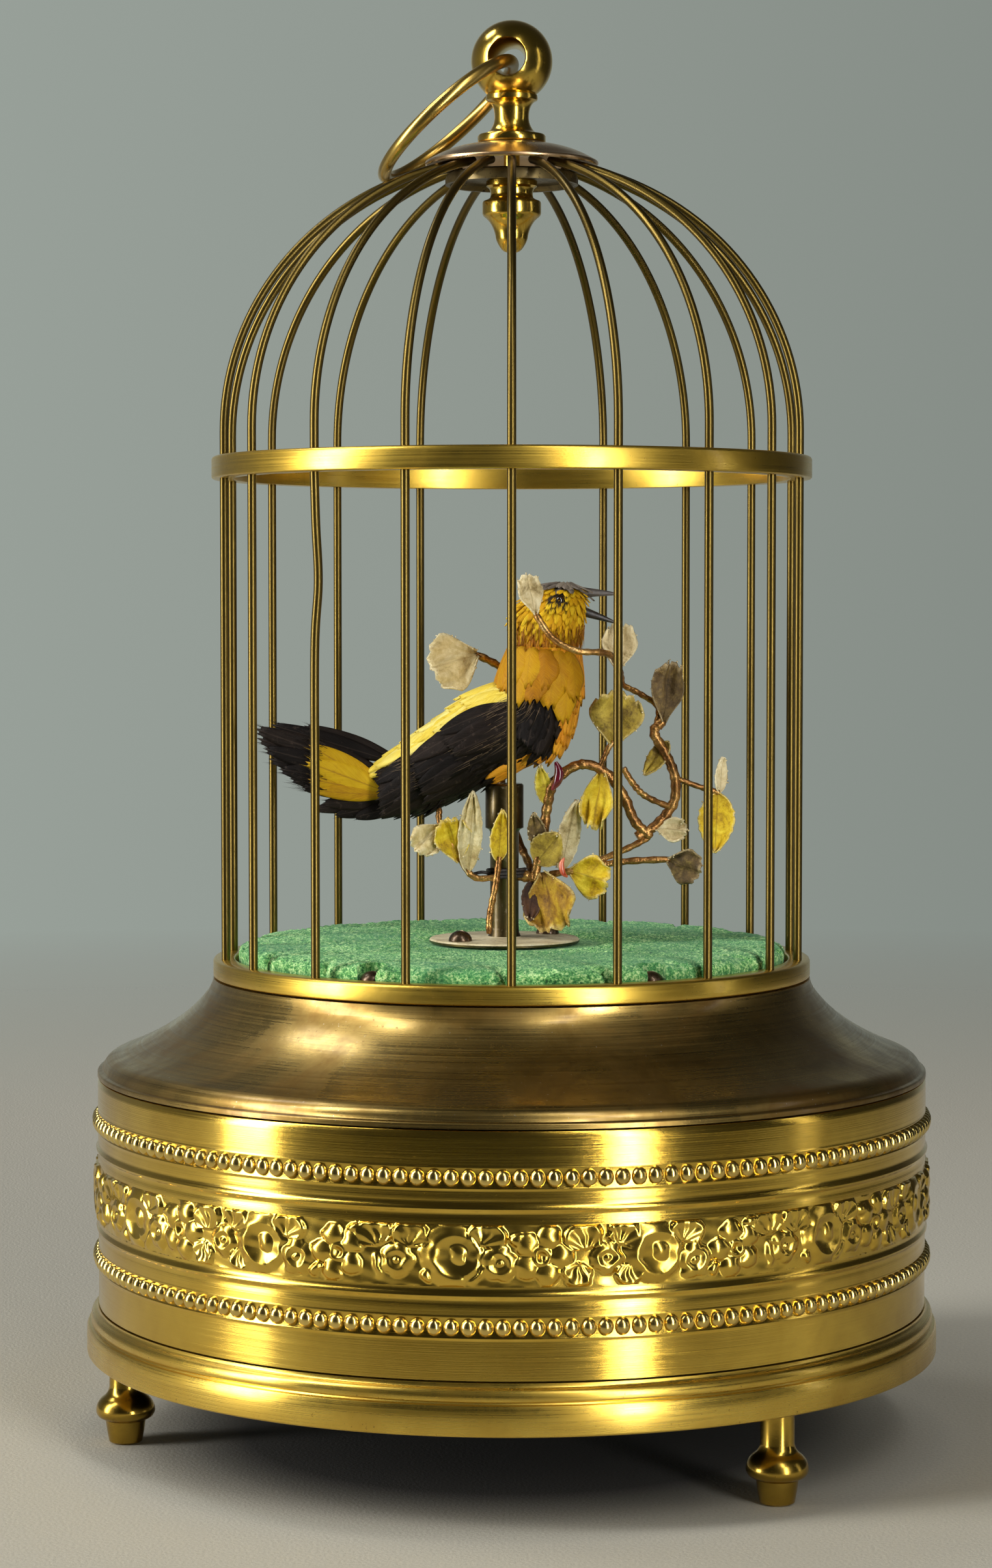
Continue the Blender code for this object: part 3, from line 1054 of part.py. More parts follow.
def build_bellows():
    low = BED_TOP + GAP
    top = low + CHEST_HEIGHT
    x0, y0 = CHEST_LOW
    x1, y1 = CHEST_HIGH
    chest = plate("air_chest", [(x0, y0), (x1, y0), (x1, y1), (x0, y1)], low, top, "pine")
    whistle_x = x1 - 0.0060
    whistle_z = low + CHEST_HEIGHT / 2
    bore = PISTON_RADIUS + RUNNING
    cut(chest, rod("whistle_bore", bore, (whistle_x, y1 - WHISTLE_LENGTH, whistle_z),
                   (whistle_x, y1 + WALL, whistle_z), segments=16))
    mouth_y = y1 - WHISTLE_LENGTH + WHISTLE_MOUTH
    cut(chest, rod("whistle_mouth", WHISTLE_MOUTH, (whistle_x, mouth_y, whistle_z),
                   (x1 + PISTON_RADIUS, mouth_y, whistle_z), segments=8))
    piston = rod("whistle_piston", PISTON_RADIUS, (0, -PISTON_LENGTH / 2, 0), (0, PISTON_LENGTH / 2, 0),
                 "steel", 16)
    piston.location = (whistle_x, y1 + 0.0020, whistle_z)

    skin_low = top + GAP
    skin_top = skin_low + BELLOWS_FOLD
    inset = 0.0010
    back = y0 + inset
    front = y1 - inset
    profile = [(back, skin_low), (front, skin_low), (front + 0.0006, skin_low + BELLOWS_FOLD * 0.3),
               (front - 0.0010, skin_low + BELLOWS_FOLD * 0.5),
               (front + 0.0006, skin_low + BELLOWS_FOLD * 0.7),
               (front, skin_top), (back, skin_top)]
    lofted("bellows_leather", [[(x, y, z) for y, z in profile] for x in (x0 + inset, x1 - inset)],
           "pale_leather")
    board = plate("bellows_board", [(x0 + inset, 0.0), (x1 - inset, 0.0), (x1 - inset, front - back),
                                    (x0 + inset, front - back)], 0.0, BELLOWS_BOARD, "pine")
    board.location = (0.0, back, skin_top + GAP)


def build():
    clear_scene()
    sockets = build_feet()
    build_plinth(sockets)
    build_drum()
    build_cover()
    build_cage()
    build_crown()
    build_handle()
    build_floor()
    build_bird()
    build_foliage()
    build_movement()


build()
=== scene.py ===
import math
import random

import bpy
import numpy
from mathutils import Matrix, Vector


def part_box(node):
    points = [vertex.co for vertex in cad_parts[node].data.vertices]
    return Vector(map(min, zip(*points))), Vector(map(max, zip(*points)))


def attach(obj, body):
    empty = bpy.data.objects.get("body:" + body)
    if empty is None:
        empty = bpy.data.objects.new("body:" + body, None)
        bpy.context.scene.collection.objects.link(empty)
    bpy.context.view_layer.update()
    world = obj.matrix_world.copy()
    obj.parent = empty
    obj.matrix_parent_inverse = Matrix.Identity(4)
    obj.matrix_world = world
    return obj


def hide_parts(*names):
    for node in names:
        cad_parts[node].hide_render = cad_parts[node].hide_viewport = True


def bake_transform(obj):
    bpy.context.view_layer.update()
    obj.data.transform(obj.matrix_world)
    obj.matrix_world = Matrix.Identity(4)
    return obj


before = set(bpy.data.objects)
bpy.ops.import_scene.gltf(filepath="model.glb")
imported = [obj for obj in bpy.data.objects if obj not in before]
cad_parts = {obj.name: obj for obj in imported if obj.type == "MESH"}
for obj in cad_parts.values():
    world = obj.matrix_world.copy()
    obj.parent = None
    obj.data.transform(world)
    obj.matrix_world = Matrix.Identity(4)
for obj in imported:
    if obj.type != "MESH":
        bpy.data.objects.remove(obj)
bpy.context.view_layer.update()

# Birdcage music box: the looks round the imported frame. Metres, +Z up, the front faces -Y.
mm = 0.001
turn = math.tau
random.seed(12)


# Small helpers
def clearSelection():
    if bpy.context.object and bpy.context.object.mode != "OBJECT":
        bpy.ops.object.mode_set(mode="OBJECT")
    bpy.ops.object.select_all(action="DESELECT")


def makeActive(obj):
    clearSelection()
    obj.select_set(True)
    bpy.context.view_layer.objects.active = obj


def rename(obj, name):
    obj.name = obj.data.name = name
    return obj


def applyPlace(obj):
    makeActive(obj)
    bpy.ops.object.transform_apply(location=True, rotation=True, scale=True)


def applyAll(obj):
    makeActive(obj)
    for modifier in list(obj.modifiers):
        bpy.ops.object.modifier_apply(modifier=modifier.name)


def smooth(obj, degrees=32):
    makeActive(obj)
    bpy.ops.object.shade_smooth_by_angle(angle=math.radians(degrees))


def dress(obj, material, solid, body="cage"):
    # its finish, the body it moves with, and the plain solid it stands for
    obj.data.materials.clear()
    obj.data.materials.append(material)
    if body:
        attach(obj, body)
    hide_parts(solid)
    return obj


def joinAll(objects, name):
    clearSelection()
    for obj in objects:
        obj.select_set(True)
    bpy.context.view_layer.objects.active = objects[0]
    if len(objects) > 1:
        bpy.ops.object.join()
    return rename(bpy.context.object, name)


def ownCopy(obj):
    # a copy that has a mesh of its own
    copy = obj.copy()
    copy.data = obj.data.copy()
    bpy.context.collection.objects.link(copy)
    return copy


def openMesh():
    # edit mode, with every vertex selected
    bpy.ops.object.mode_set(mode="EDIT")
    bpy.ops.mesh.select_mode(type="VERT")
    bpy.ops.mesh.select_all(action="SELECT")


def closeMesh():
    bpy.ops.mesh.select_all(action="SELECT")
    bpy.ops.mesh.normals_make_consistent(inside=False)
    bpy.ops.object.mode_set(mode="OBJECT")


def placesOf(obj):
    # each vertex's place in mm, its distance from the axis and its angle round it
    place = numpy.zeros(len(obj.data.vertices) * 3)
    obj.data.vertices.foreach_get("co", place)
    place = place.reshape(-1, 3) / mm
    return place, numpy.hypot(place[:, 0], place[:, 1]), numpy.arctan2(place[:, 1], place[:, 0])


def movePlaces(obj, place, shrink):
    # writes the places back, drawn towards the axis or away from it
    place[:, 0] *= shrink
    place[:, 1] *= shrink
    obj.data.vertices.foreach_set("co", (place * mm).ravel())
    obj.data.update()


def turned(name, outline, steps=192, closed=True):
    # points of (radius, height) in mm, drawn one by one and spun round the axis
    clearSelection()
    r0, z0 = outline[0]
    bpy.ops.mesh.primitive_plane_add(size=0.0004, location=(r0 * mm, 0, z0 * mm))
    obj = rename(bpy.context.object, name)
    openMesh()
    bpy.ops.mesh.merge(type="CENTER")
    path = list(outline) + ([outline[0]] if closed else [])
    for (ra, za), (rb, zb) in zip(path, path[1:]):
        bpy.ops.mesh.extrude_vertices_move(
            TRANSFORM_OT_translate={"value": ((rb - ra) * mm, 0, (zb - za) * mm)})
    bpy.ops.mesh.select_all(action="SELECT")
    bpy.ops.mesh.spin(steps=steps, angle=turn, center=(0, 0, 0), axis=(0, 0, 1))
    bpy.ops.mesh.select_all(action="SELECT")
    bpy.ops.mesh.remove_doubles(threshold=0.000004)
    bpy.ops.mesh.dissolve_degenerate(threshold=0.000001)
    closeMesh()
    applyPlace(obj)
    return obj


def turnedPiece(name, outline, steps, finish, solid, closed=True, degrees=32):
    piece = turned(name, outline, steps, closed)
    smooth(piece, degrees)
    return dress(piece, finishes[finish], solid)


def bow(start, lean, end, steps):
    # points along a curve from start to end that leans towards a third point
    points = []
    for k in range(steps + 1):
        t = k / steps
        points.append(tuple((1 - t) ** 2 * a + 2 * t * (1 - t) * b + t * t * c
                            for a, b, c in zip(start, lean, end)))
    return points


def arc(cx, cz, radius, first, last, steps):
    points = []
    for k in range(steps + 1):
        a = math.radians(first + (last - first) * k / steps)
        points.append((cx + radius * math.cos(a), cz + radius * math.sin(a)))
    return points


def bevelEdges(obj, width, degrees=35, segments=2):
    edge = obj.modifiers.new("edges", "BEVEL")
    edge.width = width * mm
    edge.segments = segments
    edge.limit_method = "ANGLE"
    edge.angle_limit = math.radians(degrees)
    applyAll(obj)


def throughPoints(points, steps):
    # a smooth curve through the given points
    points = [Vector(p) for p in points]
    ends = [2 * points[0] - points[1]] + points + [2 * points[-1] - points[-2]]
    route = []
    for a, b, c, d in zip(ends, ends[1:], ends[2:], ends[3:]):
        for k in range(steps):
            t = k / steps
            route.append(0.5 * (2 * b + (c - a) * t + (2 * a - 5 * b + 4 * c - d) * t ** 2
                                + (3 * b - a - 3 * c + d) * t ** 3))
    route.append(points[-1])
    return route


def wirePath(points, steps):
    return [p * mm for p in throughPoints(points, steps)]


def bentWire(name, points, radius, sides=3, cyclic=False, swell=None):
    # a curve with a round bevel, turned into a mesh
    clearSelection()
    bpy.ops.curve.primitive_nurbs_path_add(location=(0, 0, 0))
    obj = bpy.context.object
    rename(obj, name)
    curve = obj.data
    curve.splines.clear()
    spline = curve.splines.new("POLY")
    spline.points.add(len(points) - 1)
    for k, (held, point) in enumerate(zip(spline.points, points)):
        held.co = (*point, 1)
        held.radius = swell[k] if swell else 1
    spline.use_cyclic_u = cyclic
    curve.bevel_depth = radius
    curve.bevel_resolution = sides
    curve.use_fill_caps = True
    bpy.ops.object.convert(target="MESH")
    obj = rename(bpy.context.object, name)
    bpy.ops.object.shade_smooth()
    return obj


# Finishes
def give(value, socket):
    # a value is linked, a number or a colour is set
    if isinstance(value, Value):
        value.tree.links.new(value.socket, socket)
    elif socket.type == "RGBA":
        socket.default_value = (*value, 1)
    else:
        socket.default_value = value


class Value:
    # an output of a node: sums, differences and products of values become math nodes
    def __init__(self, tree, socket):
        self.tree = tree
        self.socket = socket

    def maths(self, operation, other=0.0):
        made = self.tree.nodes.new("ShaderNodeMath")
        made.operation = operation
        give(self, made.inputs[0])
        give(other, made.inputs[1])
        return Value(self.tree, made.outputs[0])

    def __add__(self, other):
        return self.maths("ADD", other)

    def __sub__(self, other):
        return self.maths("SUBTRACT", other)

    def __mul__(self, other):
        return self.maths("MULTIPLY", other)

    def spread(self, low, high, first=0.0, last=1.0):
        made = self.tree.nodes.new("ShaderNodeMapRange")
        give(self, made.inputs["Value"])
        for key, value in (("From Min", low), ("From Max", high), ("To Min", first), ("To Max", last)):
            made.inputs[key].default_value = value
        return Value(self.tree, made.outputs["Result"])


class Look:
    # the nodes of a new material, or of a tree that is there
    def __init__(self, name, tree=None):
        if tree is None:
            self.material = bpy.data.materials.new(name)
            self.material.use_nodes = True
            tree = self.material.node_tree
            self.shader = tree.nodes["Principled BSDF"]
        self.tree = tree
        self.place = self.coords("Object")

    def node(self, kind, inputs=None, output=0, **settings):
        made = self.tree.nodes.new(kind)
        for key, value in settings.items():
            setattr(made, key, value)
        for key, value in (inputs or {}).items():
            give(value, made.inputs[key])
        return Value(self.tree, made.outputs[output])

    def coords(self, kind):
        return self.node("ShaderNodeTexCoord", output=kind)

    def parts(self, vector):
        made = self.node("ShaderNodeSeparateXYZ", {0: vector})
        return [Value(self.tree, socket) for socket in made.socket.node.outputs]

    def vector(self, x, y, z=0.0):
        return self.node("ShaderNodeCombineXYZ", {0: x, 1: y, 2: z})

    def length(self, vector):
        return self.node("ShaderNodeVectorMath", {0: vector}, "Value", operation="LENGTH")

    def stretched(self, scale):
        return self.node("ShaderNodeVectorMath", {0: self.place, 1: scale}, operation="MULTIPLY")

    def grain(self, scale, detail=4, rough=0.55, distortion=0.0, place=None):
        inputs = {"Vector": place or self.place, "Scale": scale, "Detail": detail, "Roughness": rough,
                  "Distortion": distortion}
        return self.node("ShaderNodeTexNoise", inputs, "Fac")

    def blend(self, share, first, second):
        return self.node("ShaderNodeMix", {0: share, 6: first, 7: second}, 2, data_type="RGBA")

    def ramp(self, value, stops):
        colour = self.node("ShaderNodeValToRGB", {"Fac": value}, "Color")
        elements = colour.socket.node.color_ramp.elements
        while len(elements) < len(stops):
            elements.new(0.5)
        for element, (place, shade) in zip(elements, stops):
            element.position = place
            element.color = (*shade, 1)
        return colour

    def between(self, value, dark, pale, low, middle, high):
        # from dark to pale by way of the colour halfway
        half = tuple((a + b) / 2 for a, b in zip(dark, pale))
        return self.ramp(value, [(low, dark), (middle, half), (high, pale)])

    def finished(self, colour, values, layers=()):
        # layers of bumps as (height, strength, distance), from broad to fine
        normal = None
        for height, strength, distance in layers:
            inputs = {"Height": height, "Strength": strength, "Distance": distance}
            if normal:
                inputs["Normal"] = normal
            normal = self.node("ShaderNodeBump", inputs)
        for key, value in {"Base Color": colour, **values}.items():
            give(value, self.shader.inputs[key])
        if normal:
            give(normal, self.shader.inputs["Normal"])
        return self.material


# Metals: mottle (scale, softness), specks (scale, start, depth), patches of tarnish (start, depth), roughness
# (least, most) and for some the brushed lines round the axis (depth, scale, how far the shine is drawn)
brassLook = {
    "bright": (0.83, 0.575, 0.095), "dull": (0.63, 0.40, 0.050), "tarnish": (0.17, 0.09, 0.020),
    "wave": 0.1, "pit": 0.05, "lacquer": 0.3, "brush": None, "dust": 0,
}
metals = {
    "drum brass": {"mottle": (60, 0.22), "specks": (1500, 0.70, 0.6), "patches": (0.60, 0.30),
                   "rough": (0.15, 0.23), "brush": (0.30, 5200, 0.72)},
    "frieze brass": {"mottle": (120, 0.25), "specks": (1800, 0.68, 0.6), "patches": (0.62, 0.35),
                     "rough": (0.17, 0.27)},
    "bead brass": {"bright": (0.84, 0.64, 0.20), "dull": (0.66, 0.47, 0.12), "mottle": (120, 0.25),
                   "specks": (1800, 0.68, 0.5), "patches": (0.62, 0.3), "rough": (0.17, 0.27), "wave": 0.05},
    "cover brass": {"bright": (0.52, 0.36, 0.11), "dull": (0.25, 0.16, 0.04), "mottle": (75, 0.13),
                    "specks": (1300, 0.63, 0.7), "patches": (0.46, 0.75), "rough": (0.22, 0.36),
                    "brush": (0.15, 2600, 0.2), "wave": 0.25, "dust": 0.5},
    "plinth brass": {"bright": (0.78, 0.55, 0.10), "dull": (0.58, 0.37, 0.055), "mottle": (90, 0.2),
                     "specks": (1400, 0.66, 0.8), "patches": (0.58, 0.35), "rough": (0.24, 0.34),
                     "brush": (0.18, 4200, 0.3), "wave": 0.2},
    "polished brass": {"mottle": (160, 0.25), "specks": (1600, 0.66, 0.7), "patches": (0.62, 0.4),
                       "rough": (0.13, 0.23)},
    "ring brass": {"bright": (0.66, 0.46, 0.11), "dull": (0.42, 0.27, 0.06), "tarnish": (0.10, 0.05, 0.02),
                   "mottle": (45, 0.2), "specks": (900, 0.70, 0.2), "patches": (0.50, 0.6),
                   "rough": (0.25, 0.34), "wave": 0.0, "pit": 0.0},
    # painted shade: the walls of the hole through the finial's ball are coloured almost black
    "hole brass painted in shade": {"bright": (0.05, 0.03, 0.01), "dull": (0.02, 0.012, 0.005),
                     "tarnish": (0.01, 0.006, 0.003), "mottle": (200, 0.2), "specks": (1500, 0.66, 0.4),
                     "patches": (0.5, 0.8), "rough": (0.4, 0.5), "wave": 0.02, "pit": 0.0, "lacquer": 0.0},
    "bar brass": {"bright": (0.175, 0.122, 0.028), "dull": (0.11, 0.075, 0.018),
                  "tarnish": (0.05, 0.03, 0.012), "mottle": (60, 0.25), "specks": (700, 0.70, 0.2),
                  "patches": (0.60, 0.2), "rough": (0.31, 0.38), "wave": 0.0, "pit": 0.0, "lacquer": 0.06},
    "foot brass": {"bright": (0.56, 0.37, 0.06), "dull": (0.38, 0.24, 0.035), "mottle": (160, 0.25),
                   "specks": (1600, 0.66, 0.7), "patches": (0.60, 0.5), "rough": (0.15, 0.25),
                   "lacquer": 0.1},
    "hoop brass": {"mottle": (90, 0.22), "specks": (1500, 0.67, 0.7), "patches": (0.60, 0.35),
                   "rough": (0.28, 0.38), "brush": (0.30, 5000, 0.4), "wave": 0.12},
    "cap bronze": {"bright": (0.74, 0.53, 0.30), "dull": (0.58, 0.38, 0.20), "mottle": (150, 0.2),
                   "specks": (1500, 0.66, 0.5), "patches": (0.60, 0.3), "rough": (0.24, 0.34), "wave": 0.15},
    "dark brass": {"bright": (0.20, 0.15, 0.06), "dull": (0.11, 0.08, 0.033), "tarnish": (0.04, 0.03, 0.02),
                   "mottle": (180, 0.2), "specks": (1500, 0.58, 0.8), "patches": (0.52, 0.6),
                   "rough": (0.36, 0.50), "wave": 0.2, "lacquer": 0.1},
    "stand brass": {"bright": (0.13, 0.095, 0.036), "dull": (0.055, 0.04, 0.015),
                    "tarnish": (0.20, 0.16, 0.10),
                    "mottle": (220, 0.2), "specks": (900, 0.60, 0.8), "patches": (0.54, 0.6),
                    "rough": (0.30, 0.45), "wave": 0.2},
    "brown steel": {"bright": (0.16, 0.105, 0.06), "dull": (0.07, 0.045, 0.03),
                    "tarnish": (0.02, 0.013, 0.01),
                    "mottle": (600, 0.2), "specks": (2500, 0.56, 0.8), "patches": (0.5, 0.6),
                    "rough": (0.28, 0.45), "wave": 0.2},
    "works brass": {"bright": (0.80, 0.58, 0.17), "dull": (0.62, 0.43, 0.11), "mottle": (140, 0.2),
                    "specks": (1500, 0.64, 0.6), "patches": (0.58, 0.4), "rough": (0.22, 0.34)},
    "turned steel": {"bright": (0.50, 0.49, 0.47), "dull": (0.34, 0.33, 0.32), "tarnish": (0.12, 0.085, 0.06),
                     "mottle": (150, 0.2), "specks": (1600, 0.62, 0.7), "patches": (0.56, 0.5),
                     "rough": (0.24, 0.36), "lacquer": 0.0},
    # painted shade: the bottom plate is near black so that little light bounces onto the floor under the base
    "black sheet for shade under base": {"bright": (0.018, 0.016, 0.014), "dull": (0.010, 0.009, 0.008),
                             "tarnish": (0.05, 0.035, 0.02), "mottle": (90, 0.2), "specks": (1500, 0.66, 0.6),
                             "patches": (0.60, 0.5), "rough": (0.34, 0.48), "wave": 0.2},
}


def metalFinish(name, fit):
    look = Look(name)
    mottleScale, mottleSoft = fit["mottle"]
    speckScale, speckStart, speckDepth = fit["specks"]
    patchStart, patchDepth = fit["patches"]
    mottle = look.grain(mottleScale, 6, 0.6, 0.4)
    specks = look.grain(speckScale, 3, 0.7)
    patches = look.grain(mottleScale * 0.35, 5, 0.65, 0.8)
    stain = specks.spread(speckStart, speckStart + 0.06, 0, speckDepth).maths(
        "MAXIMUM", patches.spread(patchStart, patchStart + 0.16, 0, patchDepth))
    colour = look.blend(mottle.spread(0.5 - mottleSoft, 0.5 + mottleSoft), fit["bright"], fit["dull"])
    colour = look.blend(stain, colour, fit["tarnish"])
    if fit["dust"]:
        motes = look.grain(2100, 2, 0.5).spread(0.735, 0.76, 0, fit["dust"])
        colour = look.blend(motes, colour, (0.85, 0.82, 0.72))
    values = {"Metallic": 1.0, "Coat Weight": fit["lacquer"], "Coat Roughness": 0.16}
    rough = mottle.spread(0.3, 0.7, *fit["rough"]) + stain * 0.22
    layers = [(look.grain(45, 2, 0.4), fit["wave"], 0.0012)]
    if fit["brush"]:
        depth, scale, drawn = fit["brush"]
        x, y, z = look.parts(look.place)
        lines = look.vector(look.length(look.vector(x, y)) * scale, z * scale, x * 22)
        streak = look.grain(1.0, 3, 0.7, place=lines)
        rough = rough + streak.spread(0.3, 0.7, -0.07, 0.07)
        layers.append((streak, depth, 0.00006))
        values.update({"Anisotropic": drawn, "Anisotropic Rotation": 0.25})
    layers.append((specks, fit["pit"], 0.0001))
    return look.finished(colour, {**values, "Roughness": rough}, layers)


finishes = {name: metalFinish(name, {**brassLook, **fit}) for name, fit in metals.items()}
print("finishes ready")


# Base: the drum's levels are its lower edge, the starts of the parts above it in mm, and the brow's start
drumFit = {"radius": 77.75, "wall": 1.2, "steps": 256, "levels": (26.0, 32.6, 37.2, 41.9, 52.4, 57.9, 62.5)}
feetFit = {"circle": 73.0, "degrees": {"foot_front_right": -50.7, "foot_back": 69.3, "foot_left": 189.3}}


def buildPlinth():
    outline = ([(70.0, 16.9), (79.6, 16.9)] + arc(79.6, 17.3, 0.4, -90, 0, 4)
               + [(80.0, 20.0), (79.95, 21.6), (79.7, 22.2), (79.2, 22.35), (79.05, 22.6)]
               + bow((79.15, 22.8), (79.4, 24.4), (78.35, 24.9), 10)
               + bow((78.2, 25.0), (77.95, 25.2), (77.95, 25.7), 4)
               + [(76.55, 25.7), (76.55, 18.6), (70.0, 18.6)])
    turnedPiece("plinth", outline, drumFit["steps"], "plinth brass", "plinth_ring")


def buildFeet():
    outline = ([(0.0, 0.0), (2.6, 0.0), (3.1, 0.35), (3.45, 2.2), (3.75, 4.3)]
               + bow((4.1, 4.55), (5.2, 4.75), (5.5, 5.9), 6) + bow((5.5, 6.3), (5.4, 7.7), (4.3, 8.6), 6)
               + bow((3.9, 8.9), (3.25, 9.4), (3.0, 10.6), 5)
               + [(3.0, 16.55), (1.5, 16.6), (1.5, 18.6), (0.0, 18.6)])
    for name, degrees in feetFit["degrees"].items():
        foot = turned(name + "_turned", outline, 48, closed=False)
        a = math.radians(degrees)
        foot.location = (feetFit["circle"] * mm * math.cos(a), feetFit["circle"] * mm * math.sin(a), 0)
        applyPlace(foot)
        smooth(foot)
        dress(foot, finishes["foot brass"], name)


def ribProfile(middle):
    # a fine raised line between two shallow grooves
    r = drumFit["radius"]
    return [(r, middle - 1.5), (r - 0.12, middle - 0.95), (r + 0.02, middle - 0.5), (r + 0.34, middle - 0.18),
            (r + 0.38, middle + 0.1), (r + 0.1, middle + 0.5), (r - 0.1, middle + 0.9), (r, middle + 1.4)]


def drumRing(name, outline):
    inner = drumFit["radius"] - drumFit["wall"]
    outline = [(inner, outline[0][1])] + outline + [(inner, outline[-1][1])]
    turnedPiece(name, outline, drumFit["steps"], "drum brass", "drum_band", degrees=50)


def reliefRing(name, low, high, steps, levels, cuts, relief, finish):
    # a ring whose outer wall is cut up finely and pressed out by relief(angle, height), in mm
    r = drumFit["radius"]
    heights = [low + (high - low) * k / levels for k in range(levels + 1)]
    outline = [(r - drumFit["wall"], low)] + [(r, z) for z in heights] + [(r - drumFit["wall"], high)]
    ring = turned(name, outline, steps)
    for face in ring.data.polygons:
        face.select = all((ring.data.vertices[v].co.xy.length / mm) > r - 0.2 for v in face.vertices)
    bpy.ops.object.mode_set(mode="EDIT")
    bpy.ops.mesh.select_mode(type="FACE")
    bpy.ops.mesh.subdivide(number_cuts=cuts)
    bpy.ops.object.mode_set(mode="OBJECT")
    place, radius, angle = placesOf(ring)
    edge = numpy.clip(numpy.minimum(place[:, 2] - low, high - place[:, 2]) / 0.25, 0, 1)
    wanted = numpy.where(radius > r - 0.2, r + relief(angle, place[:, 2]) * edge, radius)
    movePlaces(ring, place, wanted / radius)
    smooth(ring, 75)
    dress(ring, finishes[finish], "drum_band")


def softPeak(distance, width):
    return numpy.exp(-(distance / width) ** 2)


beadFit = {"count": 168, "size": (1.40, 1.56, 1.22), "sunk": 0.15}


def beadRow(name, low, high, middle):
    # a shallow channel in the drum's wall with a dome for each bead
    r = drumFit["radius"]
    channel = [(r, low), (r, middle - 2.0), (r + 0.10, middle - 1.88), (r + 0.08, middle - 1.72),
               (r - 0.02, middle - 1.60), (r - 0.02, middle + 1.60), (r + 0.04, middle + 1.72),
               (r, middle + 1.85), (r, high)]
    drumRing(name + "_channel", channel)
    clearSelection()
    bpy.ops.mesh.primitive_uv_sphere_add(segments=14, ring_count=10, radius=1)
    bead = rename(bpy.context.object, name + "_bead")
    openMesh()
    bpy.ops.mesh.bisect(plane_co=(0, 0, -0.02), plane_no=(0, 0, 1), use_fill=True, clear_inner=True)
    bpy.ops.object.mode_set(mode="OBJECT")
    applyPlace(bead)
    bpy.ops.object.shade_smooth()
    made = []
    for k in range(beadFit["count"]):
        a = turn * (k + 0.5) / beadFit["count"]
        out = Vector((math.cos(a), math.sin(a), 0))
        side = Vector((-math.sin(a), math.cos(a), 0))
        wide, tall, rise = (size * random.uniform(0.97, 1.03) for size in beadFit["size"])
        axes = Matrix((side * wide, Vector((0, 0, 1)) * tall, out * rise)).transposed()
        spot = out * (r - beadFit["sunk"]) + Vector((0, 0, middle - 0.02))
        copy = ownCopy(bead)
        copy.data.transform(Matrix.Translation(spot * mm) @ (axes * mm).to_4x4())
        made.append(copy)
    bpy.data.objects.remove(bead)
    dress(joinAll(made, name), finishes["bead brass"], "drum_band")


# Frieze: one repeat of its flowers and leaves as kind, degrees along, height, radius in mm and turn
friezeFit = {"repeats": 7, "start": -33.5, "relief": 1.05}
friezeMotif = [
    ("rose", 0.0, 47.4, 4.9, 0.0), ("cup", 5.6, 45.4, 3.1, 0.4), ("leaf", 4.5, 50.7, 2.7, 1.3),
    ("blossom", 11.4, 47.0, 4.7, 0.3), ("leaf", 16.2, 50.8, 2.9, 1.9), ("stalk", 16.7, 45.2, 2.2, 1.5),
    ("cup", 19.2, 46.3, 2.9, 1.1), ("leaf", 20.9, 50.6, 2.7, 1.5), ("rose", 26.0, 47.2, 5.0, 0.15),
    ("leaf", 30.6, 50.8, 2.8, 1.2), ("cup", 32.0, 45.9, 3.1, 0.2), ("bud", 34.4, 50.0, 1.5, 0.3),
    ("blossom", 37.3, 47.2, 4.9, 0.9), ("leaf", 42.4, 50.4, 2.8, 1.8), ("leaf", 41.6, 44.2, 2.3, 4.4),
    ("cup", 45.4, 46.8, 2.8, 2.2), ("leaf", 47.6, 50.7, 2.5, 1.1), ("leaf", 48.3, 43.9, 2.2, 4.9),
    ("bud", 8.2, 43.7, 1.2, 1.2), ("bud", 23.0, 43.6, 1.2, 2.0), ("stalk", 29.4, 44.0, 2.2, 0.5),
    ("bud", 13.6, 51.2, 1.1, 0.0), ("stalk", 22.4, 49.6, 1.8, 2.6),
]


def pillow(distance):
    return numpy.clip(1 - distance ** 2, 0, 1) ** 0.65


